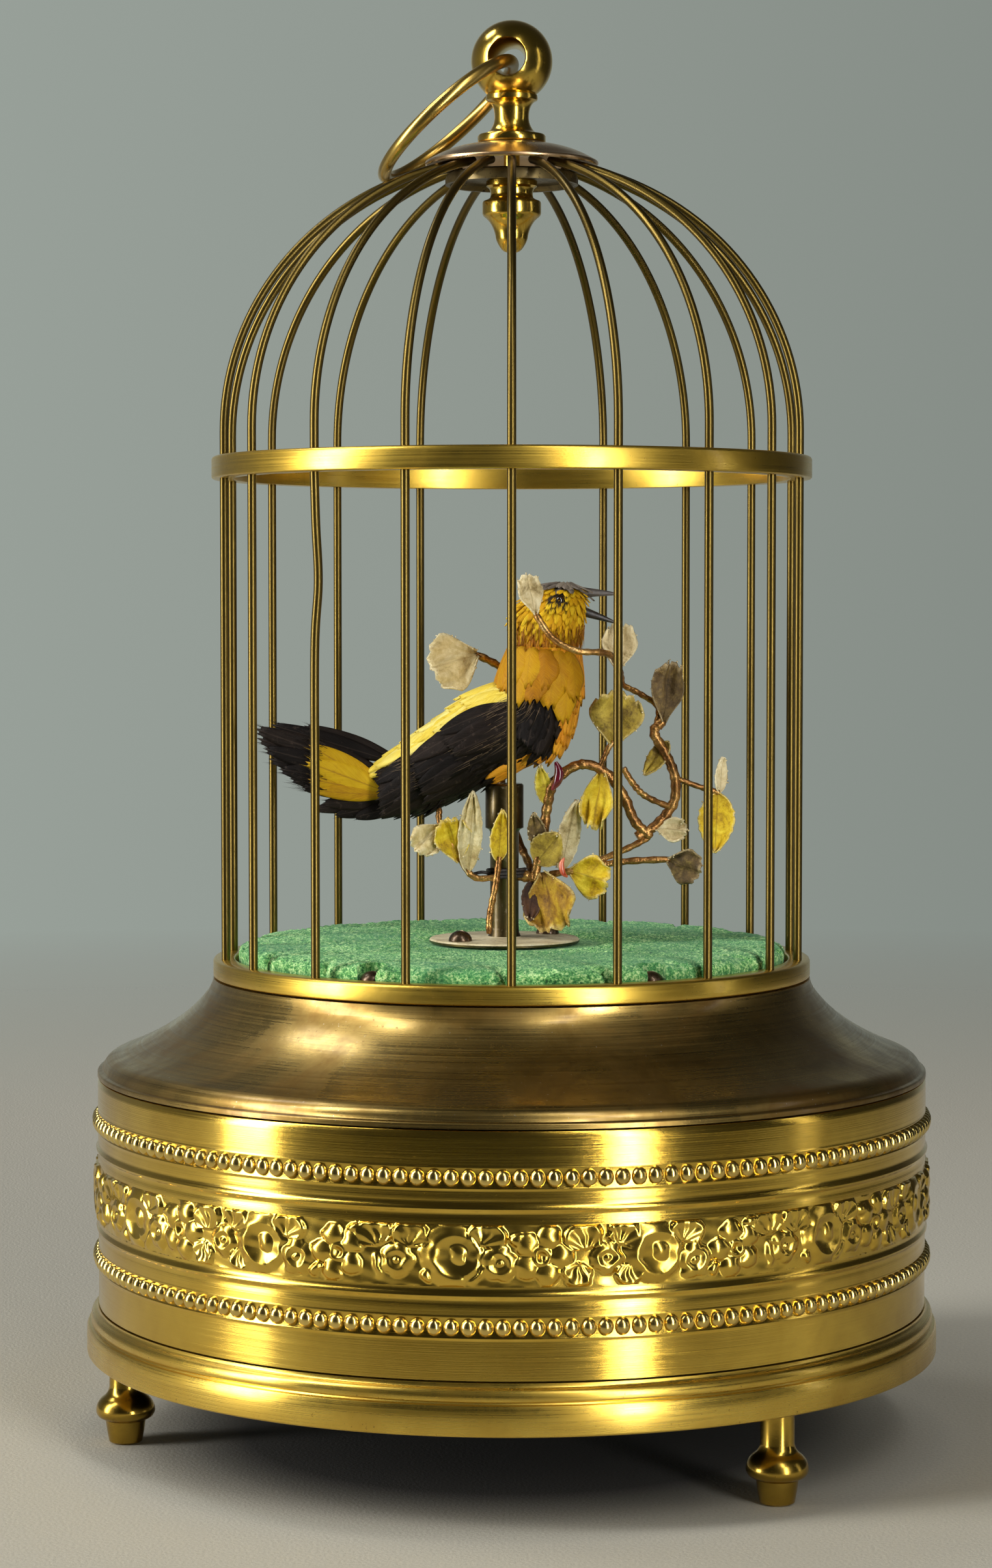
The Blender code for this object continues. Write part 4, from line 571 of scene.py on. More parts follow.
def flowerHeight(kind, u, v, size, lean):
    c, s = math.cos(lean), math.sin(lean)
    x = (u * c + v * s) / size
    y = (v * c - u * s) / size
    r = numpy.hypot(x, y)
    a = numpy.arctan2(y, x)
    if kind == "rose":
        # a round cup hollowed towards the right, with a bud in the hollow and two notched outer petals
        inner = numpy.hypot(x - 0.16, y + 0.03)
        cup = 0.88 * pillow(r) - 0.80 * numpy.clip(1 - (inner / 0.66) ** 2, 0, 1)
        bud = 0.62 * pillow(numpy.hypot(x - 0.24, (y - 0.04) * 0.85) / 0.30)
        fold = 0.20 * softPeak(inner - 0.74, 0.12) * numpy.clip(0.35 - x, 0, 1)
        notch = softPeak(a + 1.15, 0.10) + softPeak(a - 2.5, 0.10) + softPeak(a - 0.7, 0.10)
        notch = notch * numpy.clip(r - 0.55, 0, 1)
        return numpy.where(r < 1, numpy.maximum(cup + fold - 0.45 * notch, bud), 0)
    if kind == "blossom":
        total = numpy.zeros_like(r)
        for petal in range(5):
            b = turn * petal / 5 + math.pi / 2
            d = numpy.hypot(x - 0.60 * math.cos(b), y - 0.60 * math.sin(b)) / 0.41
            total = numpy.maximum(total, 0.82 * pillow(d) * (d < 1))
        ring = 0.62 * softPeak(r - 0.24, 0.12)
        return numpy.maximum(total, ring * (r < 0.5))
    if kind == "cup":
        edge = 0.84 + 0.16 * numpy.abs(numpy.cos(a * 2.5))
        body = 0.80 * pillow(r / edge) - 0.58 * numpy.clip(1 - (r / 0.52) ** 2, 0, 1)
        return numpy.where(r < edge, numpy.maximum(body, 0.60 * pillow(r / 0.22)), 0)
    if kind == "leaf":
        # a small fan, hollow in the middle, with a raised lobed edge
        foot = numpy.hypot(x + 0.75, y)
        fan = numpy.arctan2(y, x + 0.75)
        lobes = 1.66 + 0.12 * numpy.abs(numpy.cos(fan * 4.2))
        edge = lobes * numpy.sqrt(numpy.clip(numpy.cos(fan * 0.95), 0, 1))
        share = foot / numpy.maximum(edge, 0.01)
        body = 0.28 + 0.46 * numpy.clip(share, 0, 1) ** 2.5 + 0.10 * numpy.cos(fan * 8.4)
        side = numpy.clip((1 - share) / 0.14, 0, 1)
        return numpy.where((share < 1) & (numpy.abs(fan) < 1.4), body * side, 0)
    if kind == "stalk":
        return 0.5 * numpy.clip(1 - x ** 2, 0, 1) * softPeak(y - 0.2 * numpy.sin(x * 3), 0.24)
    return 0.75 * pillow(numpy.hypot(x, y * 1.35))


def friezeRelief(angle, height):
    r = drumFit["radius"]
    around = r * angle
    length = turn * r / friezeFit["repeats"]
    start = r * math.radians(friezeFit["start"] - 90)
    wobble = 0.16 * numpy.sin(around * 0.9 + height * 1.7) + 0.10 * numpy.sin(height * 2.9 - around * 0.37)
    rise = 0.12 * numpy.sin(around * 0.53 + 2.0)
    total = numpy.zeros_like(around)
    for kind, degrees, v, size, lean in friezeMotif:
        offset = (around + wobble - start - r * math.radians(degrees) + length / 2) % length - length / 2
        up = height + rise - v
        near = (numpy.abs(offset) < size * 1.4) & (numpy.abs(up) < size * 1.4)
        part = flowerHeight(kind, offset[near], up[near], size * 1.09, lean)
        total[near] = numpy.maximum(total[near], part)
    ground = 0.05 * numpy.sin(around * 1.1 + height * 0.9) * numpy.sin(height * 1.3 - around * 0.5)
    return (numpy.clip(total, 0, 1.2) * 1.15 + ground) * friezeFit["relief"]


def buildDrum():
    r = drumFit["radius"]
    low, lowerBeads, lowerRib, frieze, upperRib, upperBeads, brow = drumFit["levels"]
    drumRing("drum_foot", [(r, low), (r, 27.2), (r, lowerBeads)])
    beadRow("bead_row_lower", lowerBeads, lowerRib, 35.0)
    drumRing("drum_rib_lower", [(r, lowerRib), (r, 38.0)] + ribProfile(40.4) + [(r, frieze)])
    reliefRing("frieze", frieze, upperRib, 240, 6, 7, friezeRelief, "frieze brass")
    drumRing("drum_rib_upper", [(r, upperRib)] + ribProfile(55.1) + [(r, 57.0), (r, upperBeads)])
    beadRow("bead_row_upper", upperBeads, brow, 60.3)
    drumRing("drum_brow", [(r, brow), (r, 66.8), (r - 0.05, 68.1), (r - 0.15, 68.2)])


def buildCover():
    r = drumFit["radius"]
    outer = ([(r - 0.9, 68.5), (r + 0.02, 68.5)] + arc(r - 0.33, 69.15, 0.35, 0, 90, 5)
             + [(r - 0.75, 69.62), (r - 1.0, 70.0)]
             + bow((r - 1.1, 70.3), (r - 1.45, 71.6), (r - 3.4, 72.3), 8)
             + bow((r - 4.2, 72.6), (61.6, 77.4), (56.9, 84.2), 22)
             + bow((56.75, 84.5), (56.2, 85.5), (56.1, 86.4), 5))
    inner = [(46.0, 86.4), (46.0, 85.2), (55.0, 85.2), (56.4, 82.6), (61.4, 77.0), (68.0, 73.2),
             (r - 2.6, 71.2), (r - 1.6, 70.0)]
    turnedPiece("cover", outer + inner, drumFit["steps"], "cover brass", "base_cover")


buildPlinth()
buildFeet()
buildDrum()
buildCover()
print("base ready")


# Cage
cageFit = {"radius": 54.0, "bar": 0.8, "shoulder": 188.0, "dome": 50.9, "end": 11.0, "count": 18,
           "bentBar": 230}


def buildRings():
    inner, outer = 52.0, 56.1
    for name, low, high in (("base_ring", 86.7, 90.1), ("cage_hoop", 179.5, 183.6)):
        outline = [(inner, low), (outer - 0.25, low), (outer, low + 0.2), (outer + 0.02, low + 1.0),
                   (outer, high - 0.55), (outer - 0.18, high - 0.18), (outer - 0.5, high),
                   (inner + 0.2, high), (inner, high - 0.2)]
        ring = turned(name + "_drawn", outline, 256)
        bevelEdges(ring, 0.12, 40)
        smooth(ring, 40)
        dress(ring, finishes["hoop brass"], name)


def buildBars():
    r = cageFit["radius"]
    last = math.acos(cageFit["end"] / r)
    upright = [Vector((r, 0, z)) for z in (86.75, 120.0, 150.0, 179.0)]
    # this one has been knocked sideways just under the hoop
    knocked = throughPoints([(r, 0, 86.75), (r, 0, 120.0), (r, 0, 148.0), (r, 0.9, 160.0), (r, 0.35, 170.0),
                             (r, 0, 179.0)], 8)
    bends = [last * k / 36 for k in range(37)]
    bent = [Vector((r * math.cos(a), 0, cageFit["shoulder"] + cageFit["dome"] * math.sin(a))) for a in bends]
    for order in range(cageFit["count"]):
        name = "bar_%02d" % (order + 1)
        degrees = -90 + 20 * order
        points = [p * mm for p in (knocked if degrees == cageFit["bentBar"] else upright) + bent]
        bar = bentWire(name + "_wire", points, cageFit["bar"] * mm, 6)
        bar.rotation_euler.z = math.radians(degrees)
        applyPlace(bar)
        dress(bar, finishes["bar brass"], name)


buildRings()
buildBars()
print("cage ready")


# Crown
crownFit = {"ball": 257.17, "ballRadius": 7.6, "holeTurn": math.radians(-7.5), "waist": 1.45, "mouth": 3.6,
            "pivot": 257.1705, "ring": 15.8, "ringWire": 1.25, "ringDrop": math.radians(41.392)}


def buildCrown():
    outline = ([(1.8, 241.77), (6.6, 241.77)] + bow((7.0, 241.75), (11.8, 241.2), (15.7, 238.75), 12)
               + arc(15.75, 238.25, 0.45, 60, -70, 5)
               + bow((15.4, 237.9), (11.4, 240.25), (6.8, 240.85), 10) + [(1.8, 240.87)])
    turnedPiece("crown_cap_dished", outline, 128, "cap bronze", "crown_cap")

    top = 236.48
    outline = [(1.8, top), (11.6, top), (12.1, top - 0.3), (12.4, top - 1.1), (12.4, top - 2.2),
               (11.6, top - 2.2), (11.1, top - 1.3), (10.4, top - 1.0), (1.8, top - 1.0)]
    turnedPiece("crown_plate_pressed", outline, 96, "dark brass", "crown_plate")

    low = 221.68
    outline = ([(0.0, low), (0.8, low + 0.05), (1.5, low + 0.35)]
               + bow((1.9, low + 0.7), (2.75, low + 1.8), (3.0, low + 2.8), 6)
               + bow((3.05, low + 3.2), (3.35, low + 4.8), (4.3, low + 6.0), 6)
               + bow((4.8, low + 6.5), (5.45, low + 6.9), (5.5, low + 7.4), 4)
               + [(5.5, low + 9.3), (5.35, low + 9.6), (4.6, low + 9.9)]
               + bow((4.1, low + 10.2), (3.75, low + 11.0), (4.2, low + 12.0), 5)
               + [(4.75, low + 12.4), (4.8, low + 13.3), (4.6, low + 13.5), (1.8, low + 13.5),
                  (1.8, low + 5.0), (0.0, low + 4.4)])
    turnedPiece("drop_nut_turned", outline, 96, "polished brass", "drop_nut", closed=False)


def buildFinial():
    foot = 242.07
    neck = foot + 1.6
    centre, radius = crownFit["ball"], crownFit["ballRadius"]
    outline = ([(0.0, 226.98), (1.5, 226.98), (1.5, foot), (6.1, foot), (6.35, foot + 0.25),
                (6.35, foot + 1.2), (6.15, foot + 1.5), (5.2, neck + 0.05), (4.5, neck + 0.35)]
               + bow((4.2, neck + 0.6), (3.15, neck + 1.8), (3.2, neck + 3.4), 7)
               + bow((3.22, neck + 3.8), (3.35, neck + 5.4), (4.3, neck + 6.1), 6)
               + [(4.75, neck + 6.3), (4.85, neck + 6.6), (4.8, neck + 7.2), (4.5, neck + 7.5)]
               + arc(0, centre, radius, math.degrees(math.acos(4.2 / radius)) * -1, 89.5, 40)
               + [(0.0, centre + radius)])
    finial = turned("finial_turned", outline, 128, closed=False)
    waist, mouth = crownFit["waist"], crownFit["mouth"]
    outline = ([(0.0, -12.0), (mouth, -12.0)] + bow((mouth, -6.7), (waist, 0.0), (mouth, 6.7), 16)
               + [(mouth, 12.0), (0.0, 12.0)])
    drill = turned("drill", outline, 64, closed=False)
    # the hole's walls take the near-black brass that paints shade into the hole
    drill.data.materials.append(finishes["hole brass painted in shade"])
    drill.location.z = centre * mm
    drill.rotation_euler = (math.radians(90), 0, crownFit["holeTurn"])
    finial.data.materials.append(finishes["polished brass"])
    hole = finial.modifiers.new("hole", "BOOLEAN")
    hole.operation = "DIFFERENCE"
    hole.solver = "EXACT"
    hole.material_mode = "TRANSFER"
    hole.object = drill
    applyAll(finial)
    bpy.data.objects.remove(drill)
    bevelEdges(finial, 0.35, 50, 3)
    smooth(finial, 40)
    dress(finial, finishes["polished brass"], "finial")


def buildCarryingRing():
    radius, drop, hole = crownFit["ring"], crownFit["ringDrop"], crownFit["holeTurn"]
    side = Vector((-math.sin(hole), math.cos(hole), 0))
    level = Vector((-math.cos(hole), -math.sin(hole), 0))
    out = level * math.cos(drop) - Vector((0, 0, math.sin(drop)))
    middle = Vector((0, 0, crownFit["pivot"])) + out * (radius + 0.1)
    points = []
    for k in range(96):
        a = turn * (k + 0.5) / 96
        points.append((middle + radius * (side * math.sin(a) - out * math.cos(a))) * mm)
    ring = bentWire("carrying_ring_wire", points, crownFit["ringWire"] * mm, 7, cyclic=True)
    dress(ring, finishes["ring brass"], "carrying_ring", "carrying_ring")


buildCrown()
buildFinial()
buildCarryingRing()
print("crown ready")


# Floor of the cage
def feltFinish():
    look = Look("green velvet")
    fibre = look.grain(2300, 3, 0.75)
    tuft = look.grain(800, 4, 0.7)
    colour = look.ramp(fibre * 0.6 + tuft * 0.4,
                       [(0.38, (0.010, 0.065, 0.016)), (0.46, (0.070, 0.31, 0.075)),
                        (0.52, (0.23, 0.56, 0.17)), (0.58, (0.68, 0.93, 0.43))])
    colour = look.blend(look.grain(70, 4, 0.6).spread(0.44, 0.62, 0, 0.5), colour, (0.024, 0.16, 0.06))
    values = {"Roughness": 0.95, "Sheen Weight": 0.35, "Sheen Roughness": 0.45,
              "Sheen Tint": (0.45, 0.85, 0.6)}
    return look.finished(colour, values, [(tuft, 0.6, 0.0006), (fibre, 0.6, 0.0003)])


# Velvet: the crease beside each bar's foot and the pockets round the screws, in degrees and mm
creaseFit = {"offset": 2.4, "lean": 0.7, "rim": 49.0, "wide": 0.6, "deep": 1.5, "pinch": 0.7}
pocketFit = {"degrees": (-120, -60), "circle": 49.3, "radius": 2.7, "depth": 8.0, "height": 93.5}


def buildFelt():
    side = bow((46.9, 92.8), (51.8, 92.8), (51.35, 90.3), 14)
    outline = ([(0.0, 92.3)] + [(k * 1.6, 92.3) for k in range(1, 11)] + [(17.45, 92.45), (18.6, 92.75)]
               + [(18.6 + k * 0.55, 92.8) for k in range(1, 51)] + side[1:]
               + [(51.3, 89.2), (51.0, 88.5), (40.0, 88.5), (20.0, 88.5), (0.0, 88.5)])
    felt = turned("felt_pad", outline, 540, closed=False)
    place, radius, angle = placesOf(felt)
    radius += 1e-9
    top = place[:, 2] > 90.0
    # the nap stands up unevenly, and the edge dips a little between the bars
    nap = numpy.random.default_rng(5).uniform(-0.42, 0.06, len(place)) * (radius > 17)
    wave = 0.10 * numpy.sin(place[:, 0] * 0.31 + 1.0) * numpy.sin(place[:, 1] * 0.27) * (radius > 19)
    # one crease beside the foot of each bar, leaning as it runs inwards
    step = turn / cageFit["count"]
    crease = angle + math.pi / 2 + numpy.radians(creaseFit["offset"]
                                                 + creaseFit["lean"] * (creaseFit["rim"] - radius))
    away = ((crease + step / 2) % step - step / 2) * radius
    fold = numpy.exp(-(away / creaseFit["wide"]) ** 2) * numpy.clip((radius - 44.5) / 3.5, 0, 1)
    puff = 0.16 * (0.5 - 0.5 * numpy.cos(cageFit["count"] * crease)) * numpy.clip((radius - 42) / 6, 0, 1)
    place[:, 2] += numpy.where(top, nap + numpy.minimum(wave, 0.0) + puff - creaseFit["deep"] * fold, 0)
    movePlaces(felt, place, 1 - (creaseFit["pinch"] * fold - nap * 0.35) * (radius > 50) / radius)
    drills = []
    for degrees in pocketFit["degrees"]:
        a = math.radians(degrees)
        spot = (pocketFit["circle"] * mm * math.cos(a), pocketFit["circle"] * mm * math.sin(a),
                pocketFit["height"] * mm)
        clearSelection()
        bpy.ops.mesh.primitive_cylinder_add(vertices=40, radius=pocketFit["radius"] * mm,
                                            depth=pocketFit["depth"] * mm, location=spot)
        drills.append(bpy.context.object)
    drill = joinAll(drills, "drills")
    pocket = felt.modifiers.new("pocket", "BOOLEAN")
    pocket.solver = "EXACT"
    pocket.object = drill
    applyAll(felt)
    bpy.data.objects.remove(drill)
    smooth(felt, 60)
    dress(felt, feltFinish(), "felt_floor")


standFit = {"x": -1.35, "low": 92.6, "flange": 93.4}


def buildStand():
    low, flange = standFit["low"], standFit["flange"]
    outline = [(1.2, low), (13.95, low), (14.15, 92.75), (14.15, 93.1), (13.9, flange), (9.0, 93.5),
               (3.6, 93.55), (3.1, 93.75), (2.8, 94.4), (2.7, 95.4), (2.7, 113.4), (3.0, 113.9),
               (3.6, 114.2), (3.6, 122.2), (3.35, 122.5), (1.2, 122.5)]
    stand = turned("stand_turned", outline, 96)
    stand.location.x = standFit["x"] * mm
    applyPlace(stand)
    smooth(stand, 35)
    dress(stand, finishes["stand brass"], "bird_stand")
    stand.data.materials.append(dustyFinish())
    for face in stand.data.polygons:
        if face.center.z < 93.7 * mm and face.normal.z > 0.5:
            face.material_index = 1


def dustyFinish():
    look = Look("dusty plate")
    patch = look.grain(260, 5, 0.65, 0.6)
    speck = look.grain(1500, 3, 0.7)
    colour = look.ramp(patch, [(0.34, (0.52, 0.42, 0.24)), (0.5, (0.76, 0.66, 0.42)),
                               (0.66, (0.88, 0.80, 0.56))])
    colour = look.blend(speck.spread(0.60, 0.68, 0, 0.6), colour, (0.22, 0.15, 0.07))
    return look.finished(colour, {"Metallic": 0.25, "Roughness": 0.55},
                         [(patch, 0.3, 0.0004), (speck, 0.4, 0.0002)])


# Screws: each head's level and height in mm
screwFit = {"floor_screw_left": (89.7, 1.8), "floor_screw_right": (89.7, 1.8),
            "flange_screw_front": (93.45, 2.0), "flange_screw_back": (93.45, 2.0)}


def buildScrew(name, low, rise, radius=2.2):
    # a round head with a sawn slot, where the plain screw stands
    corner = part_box(name)[0]
    x, y = (side / mm + radius for side in corner[:2])
    clearSelection()
    bpy.ops.mesh.primitive_uv_sphere_add(segments=40, ring_count=20, radius=radius * mm,
                                         location=(x * mm, y * mm, low * mm))
    head = rename(bpy.context.object, name + "_round_head")
    for vertex in head.data.vertices:
        vertex.co.z = max(vertex.co.z, 0) * rise / radius
    applyPlace(head)
    openMesh()
    bpy.ops.mesh.remove_doubles(threshold=0.00001)
    bpy.ops.mesh.dissolve_limited(angle_limit=math.radians(0.5))
    closeMesh()
    clearSelection()
    bpy.ops.mesh.primitive_cube_add(size=1, location=(x * mm, y * mm, (low + rise) * mm),
                                    rotation=(0, 0, math.radians(random.uniform(-60, 60))))
    saw = bpy.context.object
    saw.scale = (radius * 2.4 * mm, radius * 0.26 * mm, rise * 0.75 * mm)
    slot = head.modifiers.new("slot", "BOOLEAN")
    slot.operation = "DIFFERENCE"
    slot.object = saw
    applyAll(head)
    bpy.data.objects.remove(saw)
    bevelEdges(head, 0.08, 50, 2)
    smooth(head, 40)
    dress(head, finishes["brown steel"], name)


buildFelt()
buildStand()
for screwName, levels in screwFit.items():
    buildScrew(screwName, *levels)
print("floor ready")


# Bird
# Body: sections from the tail end to the neck. Each row is the back edge, the belly edge (x, z) and half
# the width there, in mm.
bodyRows = [
    ((-22.15, 128.0), (-22.15, 120.1), 3.2), ((-19.15, 130.4), (-16.95, 117.7), 5.8),
    ((-10.45, 136.5), (-8.45, 120.7), 8.0), ((-4.45, 140.5), (3.05, 126.5), 8.6),
    ((-0.85, 142.6), (9.85, 130.7), 8.6), ((-0.35, 146.3), (12.6, 140.1), 7.6),
    ((0.25, 148.4), (12.6, 147.9), 6.4),
]
# Head: level, middle x, half its length and half its width, in mm
headRows = [
    (148.5, 6.4, 5.9, 5.6), (150.9, 6.6, 6.2, 6.0), (153.9, 6.9, 6.3, 6.1), (156.6, 7.7, 5.5, 5.3),
    (159.0, 9.0, 3.4, 3.5), (160.2, 9.8, 1.1, 1.2),
]


def alongRows(rows, share):
    # smooth value between the rows of a table of numbers
    spot = min(max(share, 0.0), 1.0) * (len(rows) - 1)
    k = min(int(spot), len(rows) - 2)
    t = spot - k
    before, a, b, after = (rows[max(k - 1, 0)], rows[k], rows[k + 1], rows[min(k + 2, len(rows) - 1)])
    return [0.5 * (2 * p + (q - o) * t + (2 * o - 5 * p + 4 * q - r) * t ** 2
                   + (3 * p - o - 3 * q + r) * t ** 3)
            for o, p, q, r in zip(before, a, b, after)]


def bodyPoint(share, degrees):
    # 0 degrees is the back, 180 the belly, and positive angles are the side that faces the front
    bx, bz, fx, fz, wide = alongRows([(*back, *belly, half) for back, belly, half in bodyRows], share)
    a = math.radians(degrees)
    lean = math.cos(a)
    mx, mz = (bx + fx) / 2, (bz + fz) / 2
    return Vector((mx + (bx - fx) / 2 * lean, -wide * math.sin(a), mz + (bz - fz) / 2 * lean))


def headPoint(share, degrees):
    # 0 degrees is the back of the head, 180 the beak; share 0 is the neck and 1 the crown
    z, middle, long, wide = alongRows(headRows, share)
    a = math.radians(degrees)
    return Vector((middle - long * math.cos(a), -wide * math.sin(a), z))


def skin(name, rings):
    # a closed skin over rings of points, made from a grid
    clearSelection()
    around, along = len(rings[0]), len(rings)
    bpy.ops.mesh.primitive_grid_add(x_subdivisions=around, y_subdivisions=along - 1, size=1)
    obj = rename(bpy.context.object, name)
    for vertex in obj.data.vertices:
        column = round((vertex.co.x + 0.5) * around) % around
        row = round((vertex.co.y + 0.5) * (along - 1))
        vertex.co = rings[row][column] * mm
    openMesh()
    bpy.ops.mesh.remove_doubles(threshold=0.00002)
    bpy.ops.mesh.select_mode(type="EDGE")
    bpy.ops.mesh.select_all(action="DESELECT")
    bpy.ops.mesh.select_non_manifold()
    bpy.ops.mesh.fill_holes(sides=0)
    closeMesh()
    applyPlace(obj)
    bpy.ops.object.shade_smooth()
    return obj


def surfaceFrame(point, share, degrees):
    # the place on a skin, the way its feathers lie and the way out
    here = point(share, degrees)
    back = point(min(share + 0.01, 1), degrees) - point(max(share - 0.01, 0), degrees)
    side = point(share, degrees + 2) - point(share, degrees - 2)
    return here, -back.normalized(), side.cross(back).normalized()


def featherBlade(name, rows, columns, fit):
    # one vane, one unit long and one wide, with its tip split into points
    widest, root, tip, rounded, jag, camber, arch, thick = fit
    clearSelection()
    bpy.ops.mesh.primitive_grid_add(x_subdivisions=rows, y_subdivisions=columns, size=1)
    blade = rename(bpy.context.object, name)
    applyPlace(blade)
    jags = [random.uniform(-1, 1) for _ in range(columns + 1)]
    for vertex in blade.data.vertices:
        t, v = vertex.co.x + 0.5, vertex.co.y * 2
        column = round((v + 1) / 2 * columns)
        swell = math.sin(min(t / widest, 1) * math.pi / 2)
        fade = max(t - widest, 0) / (1 - widest)
        width = (root + (1 - root) * swell) * (1 - (1 - tip) * fade ** 2.2)
        along = t - rounded * v * v * t + jag * jags[column] * max(t - 0.6, 0) / 0.4
        vertex.co = (along, 0.5 * v * width, camber * (1 - v * v) + arch * math.sin(t * math.pi))
    wall = blade.modifiers.new("wall", "SOLIDIFY")
    wall.thickness = thick
    wall.offset = 0
    applyAll(blade)
    return toned(blade)


def toned(feather):
    # smooth, and ready to hold the tone that its finish reads
    makeActive(feather)
    bpy.ops.object.shade_smooth()
    feather.data.attributes.new("tone", "FLOAT", "POINT")
    return feather


def cone(name, sides, root, tip, long, place):
    # a thin cone along X
    clearSelection()
    bpy.ops.mesh.primitive_cone_add(vertices=sides, radius1=root, radius2=tip, depth=long, location=place,
                                    rotation=(0, math.radians(90), 0))
    made = rename(bpy.context.object, name)
    applyPlace(made)
    return made


def placed(template, base, lie, out, size, tone):
    # a copy of a feather with its root at base, along lie, facing out; size is (length, width, lift) in mm
    copy = ownCopy(template)
    side = out.cross(lie).normalized()
    out = lie.cross(side).normalized()
    frameOf = Matrix((lie, side, out)).transposed().to_4x4()
    spot = Matrix.Translation(base * mm)
    copy.data.transform(spot @ frameOf @ Matrix.Diagonal((size[0] * mm, size[1] * mm, size[2] * mm, 1)))
    copy.data.attributes["tone"].data.foreach_set("value", [tone] * len(copy.data.vertices))
    return copy


def jitter(vector, amount):
    return (vector + Vector([random.uniform(-amount, amount) for _ in range(3)])).normalized()


def feathered(point, shares, angles, fit, template):
    # rows of feathers over a skin; every other row is set off by half a step
    long, wide, lift, untidy, sunk = fit
    made = []
    for row, share in enumerate(shares):
        for degrees in angles:
            shift = (angles[1] - angles[0]) * (0.5 if row % 2 else 0.0)
            here, lie, out = surfaceFrame(point, share, degrees + shift)
            lie = jitter((lie + out * lift).normalized(), untidy)
            size = (long * random.uniform(0.85, 1.15), wide * random.uniform(0.9, 1.1), wide)
            made.append(placed(template, here - out * sunk, lie, out, size, random.random()))
    return made


def strandsOn(point, shares, angles, count, fit, template):
    # loose hairs over a skin
    long, wide, lift, untidy, above = fit
    made = []
    for _ in range(count):
        share, degrees = random.uniform(*shares), random.uniform(*angles)
        here, lie, out = surfaceFrame(point, share, degrees)
        lie = jitter((lie + out * lift * random.uniform(0.2, 1.4)).normalized(), untidy)
        size = (long * random.uniform(0.6, 1.3), wide, wide)
        made.append(placed(template, here + out * above, lie, out, size, random.random()))
    return made


def featherFinish(name, deep, body, light, streak, changes):
    fit = {**featherLook, **changes}
    look = Look(name)
    tone = look.node("ShaderNodeAttribute", output="Fac", attribute_name="tone")
    along, across = look.parts(look.coords("UV"))[:2]
    side = (across - 0.5).maths("ABSOLUTE")
    barbs = look.vector((along - side * 0.7) * fit["barbs"], across * 2.2, tone * 31)
    barb = look.grain(1.0, 3, 0.6, place=barbs)
    fluff = look.grain(fit["fluff"], 4, 0.65, 0.6)
    mixture = barb * 0.45 + (tone * 0.25 + fluff * 0.30)
    colour = look.ramp(mixture, [(0.28, deep), (0.45, body), (0.66, light)])
    streaks = look.grain(fit["fluff"] * 2.1, 3, 0.7).spread(0.60, 0.70, 0, fit["streak"])
    colour = look.blend(streaks, colour, streak)
    colour = look.blend(side.spread(0.0, 0.05, 1, 0) * fit["shaft"], colour, streak)
    values = {"Roughness": fit["rough"], "Specular IOR Level": fit["shine"], "Sheen Weight": fit["sheen"],
              "Sheen Roughness": 0.4, "Sheen Tint": light}
    return look.finished(colour, values, [(fluff, 0.2, 0.0006), (barb, 0.5, 0.00025)])


featherLook = {"barbs": 46, "fluff": 330, "streak": 0.25, "shaft": 0.25, "rough": 0.55, "sheen": 0.06,
               "shine": 0.35}
# Plumage: the deep, middle, light and streak colours, and what differs from the common look
plumageTable = {
    "lemon": ((0.62, 0.40, 0.02), (0.86, 0.66, 0.06), (0.95, 0.84, 0.26), (0.70, 0.50, 0.08), {}),
    "yellow": ((0.50, 0.22, 0.004), (0.76, 0.42, 0.006), (0.90, 0.62, 0.022), (0.45, 0.22, 0.02),
               {"sheen": 0.02, "shine": 0.18}),
    "amber": ((0.30, 0.11, 0.003), (0.46, 0.20, 0.003), (0.58, 0.32, 0.008), (0.34, 0.15, 0.01),
              {"sheen": 0.02, "shine": 0.18}),
    "orange": ((0.50, 0.16, 0.005), (0.78, 0.30, 0.008), (0.88, 0.42, 0.02), (0.36, 0.11, 0.01), {}),
    "black": ((0.003, 0.002, 0.002), (0.006, 0.004, 0.003), (0.018, 0.012, 0.009), (0.085, 0.060, 0.045),
              {"streak": 0.4, "sheen": 0.02, "shine": 0.12}),
    "umber": ((0.012, 0.008, 0.005), (0.035, 0.024, 0.014), (0.10, 0.07, 0.03), (0.30, 0.19, 0.03),
              {"streak": 0.5}),
    "brown": ((0.05, 0.032, 0.018), (0.13, 0.085, 0.045), (0.28, 0.19, 0.10), (0.40, 0.30, 0.16),
              {"streak": 0.5}),
    "rusty": ((0.16, 0.045, 0.006), (0.42, 0.15, 0.008), (0.66, 0.32, 0.02), (0.10, 0.03, 0.01),
              {"streak": 0.6}),
    "gold": ((0.34, 0.16, 0.003), (0.52, 0.30, 0.004), (0.64, 0.41, 0.012), (0.28, 0.12, 0.01),
             {"shaft": 0.7, "sheen": 0.0, "shine": 0.15}),
    "grey": ((0.07, 0.055, 0.045), (0.15, 0.12, 0.095), (0.30, 0.25, 0.19), (0.42, 0.36, 0.27),
             {"streak": 0.6}),
}
plumage = {colour: featherFinish(colour + " feather", *row) for colour, row in plumageTable.items()}


def dressFeathers(piece, colour, solid, body="cage"):
    dress(piece, plumage[colour], solid, body)


def spanned(first, last, count):
    return [first + (last - first) * k / (count - 1) for k in range(count)]


